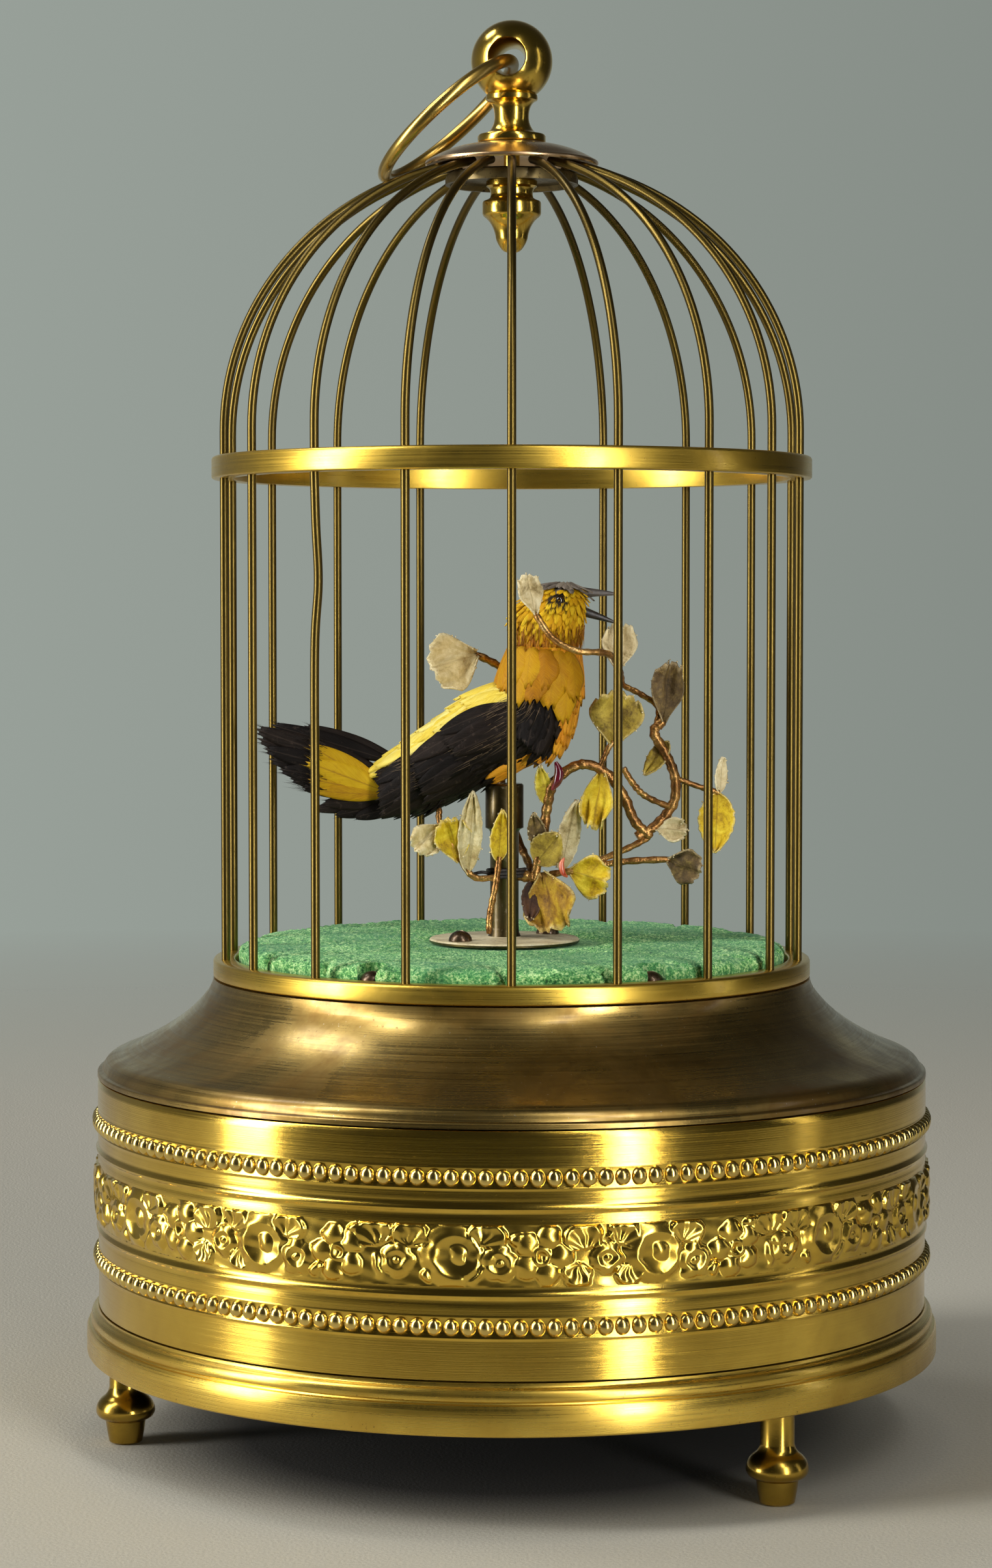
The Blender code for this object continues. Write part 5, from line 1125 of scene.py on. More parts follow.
def plume(name, vane, strand, barbs, opened):
    # a big feather: its vane, its shaft and loose barbs along both edges
    parts = [ownCopy(vane)]
    for side in (-1, 1):
        for k in range(barbs):
            t = 0.12 + 0.88 * (k + random.random()) / barbs
            width = 0.5 * math.sin(min(t / 0.5, 1) * math.pi / 2) * (1 - 0.55 * max(t - 0.5, 0) / 0.5)
            base = Vector((t * 0.97, side * width * 0.55, 0.02)) / mm
            lie = Vector((1, side * opened * random.uniform(0.5, 1.3), random.uniform(-0.05, 0.12)))
            size = (random.uniform(0.10, 0.22) / mm, 0.022 / mm, 0.022 / mm)
            parts.append(placed(strand, base, lie.normalized(), Vector((0, 0, 1)), size, random.random()))
    shaft = cone("shaft", 6, 0.022, 0.004, 0.96, (0.48, 0, 0.05))
    shaft.data.attributes.new("tone", "FLOAT", "POINT")
    parts.append(shaft)
    return joinAll(parts, name)


# Feathers as rows and columns, then widest place, root, tip, roundness, jags, camber, arch and thickness
bladeTable = {
    "small": (4, 4, (0.55, 0.35, 0.45, 0.18, 0.07, 0.10, 0.05, 0.05)),
    "broad": (7, 8, (0.6, 0.4, 0.55, 0.14, 0.10, 0.12, 0.06, 0.035)),
    "slim": (7, 4, (0.4, 0.3, 0.2, 0.05, 0.06, 0.14, 0.05, 0.05)),
    "vane": (14, 6, (0.5, 0.10, 0.30, 0.04, 0.05, 0.06, 0.02, 0.02)),
}
# Coats in the order they are laid: piece, skin, shares of it and degrees round it, feather and its size.
# Rows of feathers give first, last and count, loose strands give a range and how many.
# A size is length, width, lift, untidiness and how deep a feather is sunk or how high a strand floats, in mm.
blackRow = (6.5, 2.6, 0.10, 0.05, 0.25)
sleekRow = (5.2, 2.5, 0.02, 0.03, -0.2)
coats = [
    ("back_black", bodyPoint, (0.04, 0.50, 10), (54, 306, 25), "small", blackRow),
    ("back_black", bodyPoint, (0.53, 0.68, 4), (54, 138, 10), "small", blackRow),
    ("back_black", bodyPoint, (0.53, 0.68, 4), (222, 306, 10), "small", blackRow),
    ("back_black", bodyPoint, (0.70, 0.79, 3), (54, 122, 9), "small", blackRow),
    ("back_black", bodyPoint, (0.70, 0.79, 3), (238, 306, 9), "small", blackRow),
    ("back_yellow", bodyPoint, (0.08, 0.86, 14), (-54, 46, 12), "slim", (8.0, 2.9, 0.05, 0.035, 0.0)),
    ("breast_orange", bodyPoint, (0.46, 0.70, 7), (142, 218, 9), "slim", sleekRow),
    ("breast_orange", bodyPoint, (0.735, 0.98, 8), (126, 226, 12), "slim", sleekRow),
    ("breast_orange", bodyPoint, (0.52, 0.97), (142, 218), 300, (3.2, 0.13, 0.02, 0.06, 0.5)),
    ("ruff", bodyPoint, (0.88, 0.97, 2), (-136, 120, 13), "broad", (8.6, 5.6, 0.05, 0.03, -0.15)),
    ("ruff", bodyPoint, (0.84, 0.98), (-130, 118), 420, (4.4, 0.15, 0.05, 0.08, 0.75)),
    ("neck_orange", bodyPoint, (0.95, 1.0, 3), (0, 345, 24), "small", (3.0, 2.2, 0.10, 0.06, 0.0)),
    ("head_orange", headPoint, (0.02, 0.28, 5), (0, 345, 24), "small", (2.8, 2.0, 0.06, 0.05, 0.1)),
    ("neck_shade", headPoint, (0.04, 0.32), (0, 360), 460, (2.6, 0.17, 0.06, 0.14, 0.7)),
    ("head_yellow", headPoint, (0.27, 0.84, 11), (0, 345, 26), "slim", (3.6, 1.5, 0.07, 0.10, 0.1)),
    ("head_grey", headPoint, (0.86, 0.97, 3), (0, 330, 12), "slim", (4.2, 1.6, 0.10, 0.10, -0.1)),
    ("head_yellow", headPoint, (0.2, 0.9), (0, 360), 420, (2.8, 0.13, 0.12, 0.16, 0.25)),
    ("eye_patch", headPoint, (0.55, 0.80), (-82, -118), 300, (2.0, 0.26, 0.05, 0.22, 0.5)),
    ("eye_patch", headPoint, (0.55, 0.80), (82, 118), 300, (2.0, 0.26, 0.05, 0.22, 0.5)),
]
coatPieces = {
    "back_black": ("black", "bird_body", "cage"), "back_yellow": ("lemon", "bird_body", "cage"),
    "breast_orange": ("orange", "bird_body", "cage"), "ruff": ("amber", "bird_body", "cage"),
    "neck_orange": ("orange", "bird_body", "cage"), "head_orange": ("orange", "bird_head", "head"),
    "head_yellow": ("yellow", "bird_head", "head"), "head_grey": ("grey", "bird_head", "head"),
    "eye_patch": ("umber", "bird_head", "head"), "neck_shade": ("rusty", "bird_head", "head"),
}


def ringsRound(point, steps):
    # rings of points round the body or the head
    return [[point(share, 360 * k / 28) for k in range(28)] for share in spanned(0, 1, steps)]


def buildForms():
    # the skins under the feathers
    body = skin("bird_body_form", ringsRound(bodyPoint, 25))
    dressFeathers(body, "black", "bird_body")
    for colour in ("lemon", "orange", "yellow"):
        body.data.materials.append(plumage[colour])
    uvs = body.data.uv_layers.active.data
    for face in body.data.polygons:
        if face.loop_total > 4:
            continue
        share = sum(uvs[k].uv.y for k in face.loop_indices) / 4
        across = sum(uvs[k].uv.x for k in face.loop_indices) / 4 * 360
        if share > 0.84:
            face.material_index = 3
        elif across < 50 or across > 310:
            face.material_index = 1
        elif 140 < across < 220 and share > 0.45:
            face.material_index = 2
    body.data.attributes.new("tone", "FLOAT", "POINT")
    head = skin("bird_head_form", ringsRound(headPoint, 16))
    dressFeathers(head, "yellow", "bird_head", "head")
    head.data.attributes.new("tone", "FLOAT", "POINT")


def buildCoats(templates):
    groups = {}
    for group, point, shares, angles, kind, fit in coats:
        if kind in templates:
            feathers = feathered(point, spanned(*shares), spanned(*angles), fit, templates[kind])
        else:
            feathers = strandsOn(point, shares, angles, kind, fit, templates["strand"])
        groups.setdefault(group, []).extend(feathers)
    for group, feathers in groups.items():
        colour, solid, body = coatPieces[group]
        dressFeathers(joinAll(feathers, "bird_" + group), colour, solid, body)


def buildBird():
    templates = {"strand": toned(cone("strand", 3, 0.5, 0.0, 1, (0.5, 0, 0)))}
    for kind, row in bladeTable.items():
        templates[kind] = featherBlade(kind + "_feather", *row)
    templates["plume"] = plume("tail_plume", templates["vane"], templates["strand"], 34, 0.55)
    buildForms()
    buildCoats(templates)
    buildWings(templates["vane"], templates["strand"])
    buildTail(templates["plume"], templates["strand"])
    buildBeak()
    buildEyes()
    buildClaws()
    for template in templates.values():
        bpy.data.objects.remove(template)


# Wings: share along the body, feathers in the row, lowest degrees and length in mm
wingRows = [(0.28, 5, 126, 14.5), (0.42, 6, 130, 15.0), (0.56, 6, 118, 14.0), (0.74, 6, 106, 10.5)]


def buildWings(vane, strand):
    # long feathers from the shoulder to the tail root, laid over one another
    hairs = []
    for name, sign in (("wing_left", -1), ("wing_right", 1)):
        made = []
        for row, (share, count, low, long) in enumerate(wingRows):
            for k in range(count):
                degrees = sign * (58 + (low - 58) * (k + 0.5) / count)
                here, lie, out = surfaceFrame(bodyPoint, share, degrees)
                lie = jitter((lie + out * 0.035).normalized(), 0.02)
                size = (long, 4.2, 4.0)
                made.append(placed(vane, here + out * 0.15 * (row + 1), lie, out, size, random.random()))
        hairs += strandsOn(bodyPoint, (0.12, 0.72), (56 * sign, 110 * sign), 260,
                           (3.4, 0.12, 0.05, 0.12, 1.25), strand)
        dressFeathers(joinAll(made, name + "_feathers"), "black", name)
    dress(joinAll(hairs, "wing_hairs"), plumage["brown"], "bird_body")


tailFit = {   # root, tip, width and how far out it lies, in mm
    "black": [((-21.6, 127.4), (-38.5, 133.2), 3.0, 0.3), ((-22.0, 126.6), (-44.5, 133.4), 3.6, 0.7),
              ((-23.0, 124.0), (-47.6, 132.6), 4.4, 1.1), ((-23.4, 123.4), (-47.2, 130.8), 4.4, 0.5),
              ((-23.4, 123.0), (-46.0, 129.0), 4.4, 1.3), ((-23.4, 122.6), (-45.0, 127.0), 4.4, 0.6),
              ((-23.4, 122.2), (-43.2, 125.2), 4.4, 1.4), ((-23.4, 121.8), (-41.2, 123.4), 4.2, 0.8),
              ((-23.2, 121.2), (-39.0, 121.8), 4.0, 1.2), ((-22.4, 120.2), (-36.6, 117.6), 3.4, 0.4),
              ((-22.0, 119.4), (-35.2, 118.8), 3.2, 1.0), ((-21.6, 118.8), (-33.0, 116.6), 3.0, 0.7),
              ((-21.0, 118.4), (-29.4, 116.2), 2.8, 1.3)],
    "gold": [((-23.2, 120.9), (-37.6, 129.6), 4.6, 2.0), ((-23.2, 120.9), (-38.2, 126.6), 4.8, 2.3),
             ((-23.2, 120.6), (-37.8, 123.4), 4.6, 2.1), ((-23.0, 120.3), (-36.6, 121.2), 3.0, 2.4)],
}


def buildTail(tailPlume, strand):
    for colour in ("black", "gold"):
        made = []
        for (rx, rz), (tx, tz), wide, off in tailFit[colour]:
            for sign in (-1, 1):
                base = Vector((rx, sign * off * 0.6, rz))
                lie = Vector((tx, sign * off, tz)) - base
                size = (lie.length, wide, wide)
                out = Vector((0, sign, 0))
                made.append(placed(tailPlume, base, lie.normalized(), out, size, random.random()))
        if colour == "black":
            # loose dark barbs over the gold feathers' outer ends
            for _ in range(160):
                sign = random.choice((-1, 1))
                z = random.uniform(120.5, 131.0)
                base = Vector((random.uniform(-34.5, -38.0), sign * random.uniform(2.0, 2.7), z))
                lie = Vector((-1, 0, random.uniform(0.0, 0.6))).normalized()
                made.append(placed(strand, base, lie, Vector((0, sign, 0)),
                                   (random.uniform(3, 6.5), 0.16, 0.16), random.random()))
        dressFeathers(joinAll(made, "bird_tail_" + colour), colour, "bird_tail", "tail")


beakFit = {   # x, top, bottom and half width, in mm
    "upper": [(10.6, 160.0, 157.0, 1.9), (12.0, 159.7, 157.3, 1.6), (13.6, 159.4, 157.35, 1.2),
              (15.6, 159.1, 157.6, 0.85), (17.6, 158.8, 157.75, 0.55), (19.2, 158.45, 157.85, 0.3),
              (19.95, 158.1, 157.9, 0.1)],
    "lower": [(12.4, 156.3, 154.0, 1.5), (13.4, 155.9, 153.9, 1.3), (15.0, 155.2, 153.5, 1.0),
              (16.8, 154.4, 153.1, 0.7), (18.4, 153.6, 152.75, 0.4), (19.6, 152.95, 152.55, 0.15)],
}


def hornFinish(name, dark, pale, rough):
    look = Look(name)
    streak = look.grain(1.0, 4, 0.65, place=look.stretched((160, 900, 900)))
    colour = look.between(streak, dark, pale, 0.34, 0.52, 0.68)
    return look.finished(colour, {"Roughness": rough}, [(streak, 0.35, 0.00015)])


def buildBeak():
    grey = hornFinish("grey horn", (0.022, 0.018, 0.016), (0.13, 0.11, 0.095), 0.42)
    black = hornFinish("black horn", (0.008, 0.007, 0.006), (0.05, 0.042, 0.036), 0.4)
    for part, material, solid, body in (("upper", grey, "bird_head", "head"),
                                        ("lower", black, "lower_beak", "lower_beak")):
        rings = []
        for share in spanned(0, 1, 22):
            x, top, bottom, wide = alongRows(beakFit[part], share)
            ring = []
            for k in range(18):
                a = turn * k / 18
                bulge = math.sin(a)
                z = (top + bottom) / 2 + (top - bottom) / 2 * (abs(bulge) ** 0.85) * (1 if bulge > 0 else -1)
                ring.append(Vector((x, wide * math.cos(a), z)))
            rings.append(ring)
        dress(skin(part + "_beak_horn", rings), material, solid, body)


def buildEyes():
    # glass eyes in a dark setting
    for name, sign in (("eye_front", -1), ("eye_back", 1)):
        clearSelection()
        bpy.ops.mesh.primitive_uv_sphere_add(segments=32, ring_count=20, radius=0.95 * mm,
                                             location=(9.0 * mm, sign * 5.15 * mm, 156.9 * mm))
        eye = rename(bpy.context.object, name)
        applyPlace(eye)
        bpy.ops.object.shade_smooth()
        look = Look("black glass eye")
        colour = look.ramp(look.grain(900, 3), [(0.35, (0.004, 0.003, 0.002)), (0.7, (0.03, 0.018, 0.01))])
        glass = look.finished(colour, {"Roughness": 0.06, "Coat Weight": 1.0})
        dress(eye, glass, "bird_head", "head")


def buildClaws():
    # two small feet that grip the top of the stand
    made = []
    for sign, x in ((-1, 2.6), (1, -3.2)):
        ankle = Vector((x, sign * 3.0, 127.6))
        for toe in (-1, 0, 1, 3):
            reach = Vector((2.6 if toe < 2 else -2.4, sign * 0.4 + toe * 0.8 * (toe < 2), -1.6))
            points = [ankle + Vector((0, 0, 1.2)), ankle, ankle + reach * 0.55, ankle + reach,
                      ankle + reach + Vector((0.5 if toe < 2 else -0.5, 0, -0.9))]
            route = wirePath(points, 5)
            swell = [1.15 - 0.9 * k / (len(route) - 1) + 0.1 * math.sin(k * 1.8) for k in range(len(route))]
            made.append(bentWire("toe", route, 0.42 * mm, 2, swell=swell))
    brown = hornFinish("brown horn", (0.03, 0.018, 0.01), (0.16, 0.10, 0.05), 0.5)
    dress(joinAll(made, "bird_feet"), brown, "bird_body")


buildBird()
print("bird ready")


# Spray of leaves
# Stems: thickness (radius in mm) and the points they pass, in mm from the middle of the stand's flange
stemTable = {
    "arch": (0.98, [(5.5, -1.0, 10.8), (7.2, -1.2, 18.6), (8.0, -2.0, 24.6), (9.4, -3.4, 29.6),
                    (14.0, -3.6, 32.8), (18.6, -3.0, 31.6), (22.2, -2.2, 27.2), (24.5, -1.4, 22.1),
                    (27.6, -0.8, 19.0)]),
    "right_bough": (0.95, [(24.9, -1.0, 19.0), (28.5, -0.6, 21.3), (31.8, -0.2, 25.4), (32.1, 0.0, 30.2),
                           (30.4, 0.4, 34.6), (28.2, 0.8, 38.7), (29.9, 0.6, 40.9)]),
    "speckled_twig": (0.62, [(22.2, -4.8, 32.2), (24.3, -4.0, 29.0), (26.6, -3.0, 26.8), (31.3, -0.4, 24.6)]),
    "outer_twig": (0.58, [(31.9, 0.0, 30.2), (36.9, 0.8, 28.4), (40.6, 1.0, 27.3)]),
    "low_twig": (0.66, [(5.5, -1.2, 11.6), (13.4, -1.4, 12.8), (22.0, -1.2, 14.4), (31.2, -1.0, 14.9)]),
    "slant_twig": (0.62, [(13.4, -1.4, 13.0), (22.0, -1.0, 16.4), (27.3, -0.8, 19.0)]),
    "flower_stem": (0.56, [(28.2, 0.8, 38.5), (29.0, 2.0, 43.2), (25.8, 3.0, 45.8), (22.2, 4.0, 47.8),
                           (21.4, 5.2, 50.6)]),
    "neck_twig": (0.62, [(22.2, 4.0, 47.6), (21.5, -2.0, 50.6), (19.3, -8.0, 53.6), (13.4, -10.8, 54.2),
                         (8.9, -10.6, 56.6), (5.7, -10.2, 61.1)]),
    "fan_stem": (0.55, [(17.9, -3.4, 32.2), (19.3, -4.0, 35.6), (20.4, -4.0, 37.2)]),
    "back_stem": (0.75, [(5.2, -0.6, 11.6), (4.7, 2.6, 13.6), (2.4, 8.0, 18.6), (-0.6, 13.4, 28.6),
                         (1.4, 14.6, 38.6), (2.4, 13.0, 46.4), (-0.6, 10.8, 50.6), (-5.4, 9.3, 53.3)]),
    "left_twig": (0.60, [(-1.9, -4.2, 11.6), (-5.8, -4.0, 11.8), (-8.6, -3.4, 15.6), (-12.0, -3.0, 21.6),
                         (-12.2, -2.6, 24.6)]),
    "front_twig": (0.62, [(-1.0, -4.6, 15.6), (-1.6, -5.0, 10.6), (-2.7, -5.2, 5.1), (-2.9, -5.4, 1.2)]),
    "bundle": (1.10, [(2.6, -0.4, 12.0), (5.8, -1.0, 11.2)]),
}
# Leaves: foot, tip, half width, turn about the length in degrees, shape and colour
leafTable = {
    "cream_fan": ((-5.2, 9.4, 53.2), (-13.4, 7.0, 50.6), 6.0, 15, "fan", "cream"),
    "lace_flower": ((21.4, 5.0, 50.2), (22.1, 7.0, 58.6), 3.4, 0, "fan", "lace"),
    "dark_leaf": ((29.8, 0.6, 40.6), (31.3, 1.0, 51.2), 3.4, 20, "fan", "brown"),
    "olive_fan": ((20.3, -4.0, 36.6), (21.4, -4.6, 45.8), 5.2, 0, "fan", "olive"),
    "lace_leaf": ((40.4, 1.0, 27.2), (41.0, 1.2, 34.0), 1.8, 50, "leaf", "lace"),
    "drooping_leaf": ((40.3, 1.0, 27.4), (39.7, 0.0, 16.0), 3.4, 10, "leaf", "yellow"),
    "pale_leaf": ((28.5, -0.8, 20.8), (33.9, -1.6, 20.2), 2.4, -10, "fan", "lace"),
    "brown_leaf": ((30.7, -1.0, 14.9), (36.5, -2.0, 12.8), 3.6, 15, "fan", "brown"),
    "lime_leaf": ((18.4, -3.0, 32.0), (16.8, -5.0, 21.6), 3.2, 20, "fan", "yellow"),
    "olive_leaf": ((6.0, -1.4, 14.2), (10.4, -4.4, 20.0), 3.2, -10, "leaf", "olive"),
    "broad_leaf": ((12.3, -1.4, 12.8), (19.2, -4.0, 11.2), 4.3, 10, "fan", "yellow"),
    "round_leaf": ((7.4, -1.4, 12.4), (9.8, -5.4, 2.6), 5.4, 20, "fan", "rust"),
    "dark_small_leaf": ((5.5, -1.2, 11.0), (4.7, -4.4, 3.4), 2.0, -10, "leaf", "dark"),
    "narrow_leaf": ((10.6, -1.4, 12.6), (13.4, -3.0, 26.2), 2.2, 15, "leaf", "lace"),
    "pod_leaf": ((6.6, -1.2, 17.0), (5.4, -4.0, 23.8), 1.7, 0, "leaf", "brown"),
    "upright_leaf": ((8.0, -2.2, 25.2), (6.6, -5.0, 32.8), 1.6, 0, "leaf", "lime"),
    "cup_leaf": ((-8.4, -3.6, 14.6), (-10.4, -4.4, 22.4), 3.6, 0, "cup", "yellow"),
    "post_leaf": ((-1.2, -4.7, 14.6), (-0.4, -6.6, 24.6), 1.9, 15, "leaf", "yellow"),
    "cream_leaf": ((-6.9, -4.0, 12.4), (-5.8, -6.2, 28.1), 2.2, 0, "leaf", "cream"),
    "far_leaf": ((-11.8, -3.0, 21.4), (-16.4, -3.6, 17.0), 3.2, 0, "fan", "cream"),
    "neck_tuft": ((5.7, -10.2, 60.8), (4.0, -9.4, 67.8), 2.5, 25, "fan", "lace"),
    "hanging_leaf": ((31.0, 0.6, 37.0), (26.6, 1.2, 30.6), 1.9, 30, "leaf", "olive"),
}
leafColours = {   # shade, body, light and rim
    "yellow": ((0.24, 0.11, 0.008), (0.68, 0.46, 0.012), (0.88, 0.70, 0.050), (0.82, 0.66, 0.24)),
    "lime": ((0.30, 0.19, 0.01), (0.66, 0.52, 0.04), (0.82, 0.72, 0.14), (0.82, 0.72, 0.32)),
    "olive": ((0.09, 0.05, 0.008), (0.34, 0.24, 0.030), (0.58, 0.43, 0.06), (0.66, 0.52, 0.20)),
    "cream": ((0.30, 0.20, 0.06), (0.60, 0.48, 0.22), (0.80, 0.70, 0.42), (0.84, 0.74, 0.46)),
    "lace": ((0.26, 0.18, 0.06), (0.68, 0.56, 0.30), (0.86, 0.77, 0.50), (0.90, 0.80, 0.52)),
    "brown": ((0.045, 0.028, 0.012), (0.14, 0.09, 0.035), (0.34, 0.23, 0.07), (0.46, 0.35, 0.18)),
    "rust": ((0.13, 0.055, 0.008), (0.40, 0.22, 0.014), (0.68, 0.48, 0.035), (0.70, 0.54, 0.20)),
    "dark": ((0.012, 0.006, 0.004), (0.045, 0.018, 0.010), (0.11, 0.05, 0.025), (0.16, 0.09, 0.05)),
}


def onStand(point):
    return Vector(point) + Vector((standFit["x"], 0, standFit["flange"]))


def leafFinish(name, shade, body, light, rim):
    look = Look(name + " leaf")
    along, across = look.parts(look.coords("UV"))[:2]
    side = (across - 0.5).maths("ABSOLUTE") * 2
    cloth = look.grain(1500, 3, 0.7)
    blotch = look.grain(260, 5, 0.65, 0.7)
    colour = look.ramp(blotch * 0.75 + cloth * 0.25, [(0.33, shade), (0.48, body), (0.64, light)])
    colour = look.blend(side.spread(0.0, 0.07, 0.55, 0), colour, shade)
    colour = look.blend(along.spread(0.0, 0.30, 0.55, 0), colour, shade)
    edge = side.spread(0.88, 0.98).maths("MAXIMUM", along.spread(0.90, 0.98))
    colour = look.blend(edge * cloth.spread(0.42, 0.58, 0.25, 1.0), colour, rim)
    return look.finished(colour, {"Roughness": 0.6, "Specular IOR Level": 0.3},
                         [(blotch, 0.35, 0.0006), (cloth, 0.8, 0.0003)])


def stemFinish():
    look = Look("copper wrapped stem")
    thread = look.grain(1.0, 2, 0.6, place=look.stretched((2200, 2200, 3600)))
    patch = look.grain(240, 4, 0.65, 0.5)
    colour = look.ramp(patch, [(0.30, (0.13, 0.055, 0.015)), (0.48, (0.36, 0.17, 0.045)),
                               (0.60, (0.60, 0.34, 0.10)), (0.72, (0.80, 0.58, 0.26))])
    colour = look.blend(thread.spread(0.40, 0.52, 0.45, 0), colour, (0.10, 0.05, 0.02))
    return look.finished(colour, {"Metallic": 0.75, "Roughness": 0.28},
                         [(patch, 0.3, 0.0006), (thread, 0.6, 0.0002)])


def glitterFinish():
    look = Look("rim glitter")
    colour = look.ramp(look.grain(1600, 3), [(0.35, (0.42, 0.31, 0.12)), (0.6, (0.85, 0.76, 0.50))])
    return look.finished(colour, {"Metallic": 0.25, "Roughness": 0.3})


def lacquerFinish(name, dark, light):
    look = Look(name)
    colour = look.ramp(look.grain(420, 3), [(0.38, dark), (0.66, light)])
    return look.finished(colour, {"Roughness": 0.16, "Coat Weight": 0.8})


def threadFinish():
    look = Look("black thread")
    twist = look.grain(2400, 2)
    colour = look.ramp(twist, [(0.4, (0.006, 0.005, 0.005)), (0.65, (0.04, 0.033, 0.03))])
    return look.finished(colour, {"Roughness": 0.6}, [(twist, 0.6, 0.0002)])


def leafBlade(name, foot, tip, half, turnDegrees, kind):
    clearSelection()
    bpy.ops.mesh.primitive_grid_add(x_subdivisions=16, y_subdivisions=14, size=1)
    leaf = rename(bpy.context.object, name)
    along = onStand(tip) - onStand(foot)
    long = along.length
    along = along.normalized()
    side = along.cross(Vector((0, -1, 0))).normalized()
    face = side.cross(along).normalized()
    spinTurn = Matrix.Rotation(math.radians(turnDegrees), 3, along)
    side, face = spinTurn @ side, spinTurn @ face
    wave = random.uniform(0, turn)
    curl = random.uniform(0.08, 0.20)
    for vertex in leaf.data.vertices:
        t, v = vertex.co.x + 0.5, vertex.co.y * 2
        if kind == "leaf":
            width = math.sin(math.pi * min(t ** 0.85, 1)) ** 0.75 * (1 + 0.05 * math.cos(t * 60)) + 0.03
            x = t * long
            y = v * width * half
        else:
            opened = 0.10 + 0.90 * math.sin(min(t / 0.72, 1) * math.pi / 2) ** 1.1
            scallop = 0.11 * abs(math.cos(v * math.pi * 2.5 + wave)) * max(t - 0.6, 0) / 0.4
            x = long * (t * (1 - 0.20 * v * v * t) + scallop)
            y = v * opened * half * (1 - 0.20 * max(t - 0.75, 0) / 0.25 * abs(v))
        ripple = (0.05 if kind == "leaf" else 0.12) * long * math.sin(v * 6.5 + wave) * t * t
        ripple += 0.02 * long * math.sin(t * 11 + v * 4 + wave) * (kind != "leaf")
        cup = (0.26 if kind == "cup" else curl) * half * (v * v) + ripple
        back = (0.55 if kind == "cup" else 0.10) * long * max(t - 0.55, 0) ** 2
        ridge = 0.05 * half * (1 - min(abs(v) / 0.12, 1))
        ridge -= 0.03 * half * math.cos(v * 16 + t * 5) * (kind != "leaf")
        vertex.co = (onStand(foot) + along * x + side * y + face * (cup + back + ridge)) * mm
    wall = leaf.modifiers.new("wall", "SOLIDIFY")
    wall.thickness = 0.28 * mm
    wall.offset = 0
    applyAll(leaf)
    bpy.ops.object.shade_smooth()
    return leaf


def rimCrumbs(leaf, crumb, count):
    # grains of glitter along the outer edge of a leaf
    made = []
    uv = leaf.data.uv_layers.active.data
    edgePoints = set()
    for face in leaf.data.polygons:
        for corner in face.loop_indices:
            u, v = uv[corner].uv
            if u > 0.9 or abs(v - 0.5) > 0.46:
                edgePoints.add(leaf.data.loops[corner].vertex_index)
    edgePoints = sorted(edgePoints)
    for _ in range(count):
        spot = leaf.data.vertices[random.choice(edgePoints)].co
        size = random.uniform(0.10, 0.22) * mm
        shift = Vector([random.uniform(-0.2, 0.2) * mm for _ in range(3)])
        copy = ownCopy(crumb)
        copy.data.transform(Matrix.Translation(spot + shift) @ Matrix.Diagonal((size, size, size, 1)))
        made.append(copy)
    return made


def dressSpray(piece, material):
    dress(piece, material, "foliage")


def buildFoliage():
    stems = []
    for name, (radius, points) in stemTable.items():
        route = wirePath([onStand(point) for point in points], 9)
        swell = [1 + 0.10 * math.sin(k * 1.9) + random.uniform(-0.07, 0.07) for k in range(len(route))]
        swell[-1] *= 0.7
        stems.append(bentWire("stem_" + name, route, radius * mm, 3, swell=swell))
    dressSpray(joinAll(stems, "foliage_stems"), stemFinish())

    clearSelection()
    bpy.ops.mesh.primitive_ico_sphere_add(subdivisions=1, radius=1)
    crumb = rename(bpy.context.object, "crumb")
    byColour, crumbs = {}, []
    for name, (foot, tip, half, turnDegrees, kind, colour) in leafTable.items():
        leaf = leafBlade(name, foot, tip, half, turnDegrees, kind)
        crumbs += rimCrumbs(leaf, crumb, 26 if colour in ("lace", "cream") else 16)
        byColour.setdefault(colour, []).append(leaf)
    for colour, leaves in byColour.items():
        dressSpray(joinAll(leaves, "leaves_" + colour), leafFinish(colour, *leafColours[colour]))
    dressSpray(joinAll(crumbs, "leaf_rim_glitter"), glitterFinish())
    bpy.data.objects.remove(crumb)


# Berries: points they pass, radius in mm, and their dark and light red
berryTable = {
    "red_berry": ([(9.6, -5.2, 33.4), (10.2, -5.4, 31.6), (9.9, -5.4, 29.8), (8.9, -5.0, 28.2)], 0.95,
                  "red lacquer", (0.08, 0.004, 0.012), (0.26, 0.012, 0.035)),
    "coral_bud": ([(11.2, -4.6, 15.4), (10.7, -4.8, 14.2), (11.0, -4.8, 12.6), (11.8, -4.6, 11.8)], 0.55,
                  "coral lacquer", (0.45, 0.04, 0.02), (0.80, 0.22, 0.12)),
}


def buildBerries():
    for name, (points, radius, *lacquer) in berryTable.items():
        route = wirePath([onStand(point) for point in points], 6)
        swell = [0.25 + 0.75 * math.sin(math.pi * (k + 0.6) / (len(route) + 0.2)) for k in range(len(route))]
        berry = bentWire(name, route, radius * mm, 4, swell=swell)
        dressSpray(berry, lacquerFinish(*lacquer))


tieFit = {"turns": 3, "steps": 28, "radius": 3.15, "low": 11.2, "pitch": 0.62, "thread": 0.34, "end": 0.30}
tieEnds = [[(-2.4, -2.4, 12.2), (-4.2, -3.2, 12.6), (-6.0, -3.0, 12.2)],
           [(-2.4, -2.5, 12.0), (-4.0, -3.6, 11.4), (-5.2, -3.4, 11.5)]]


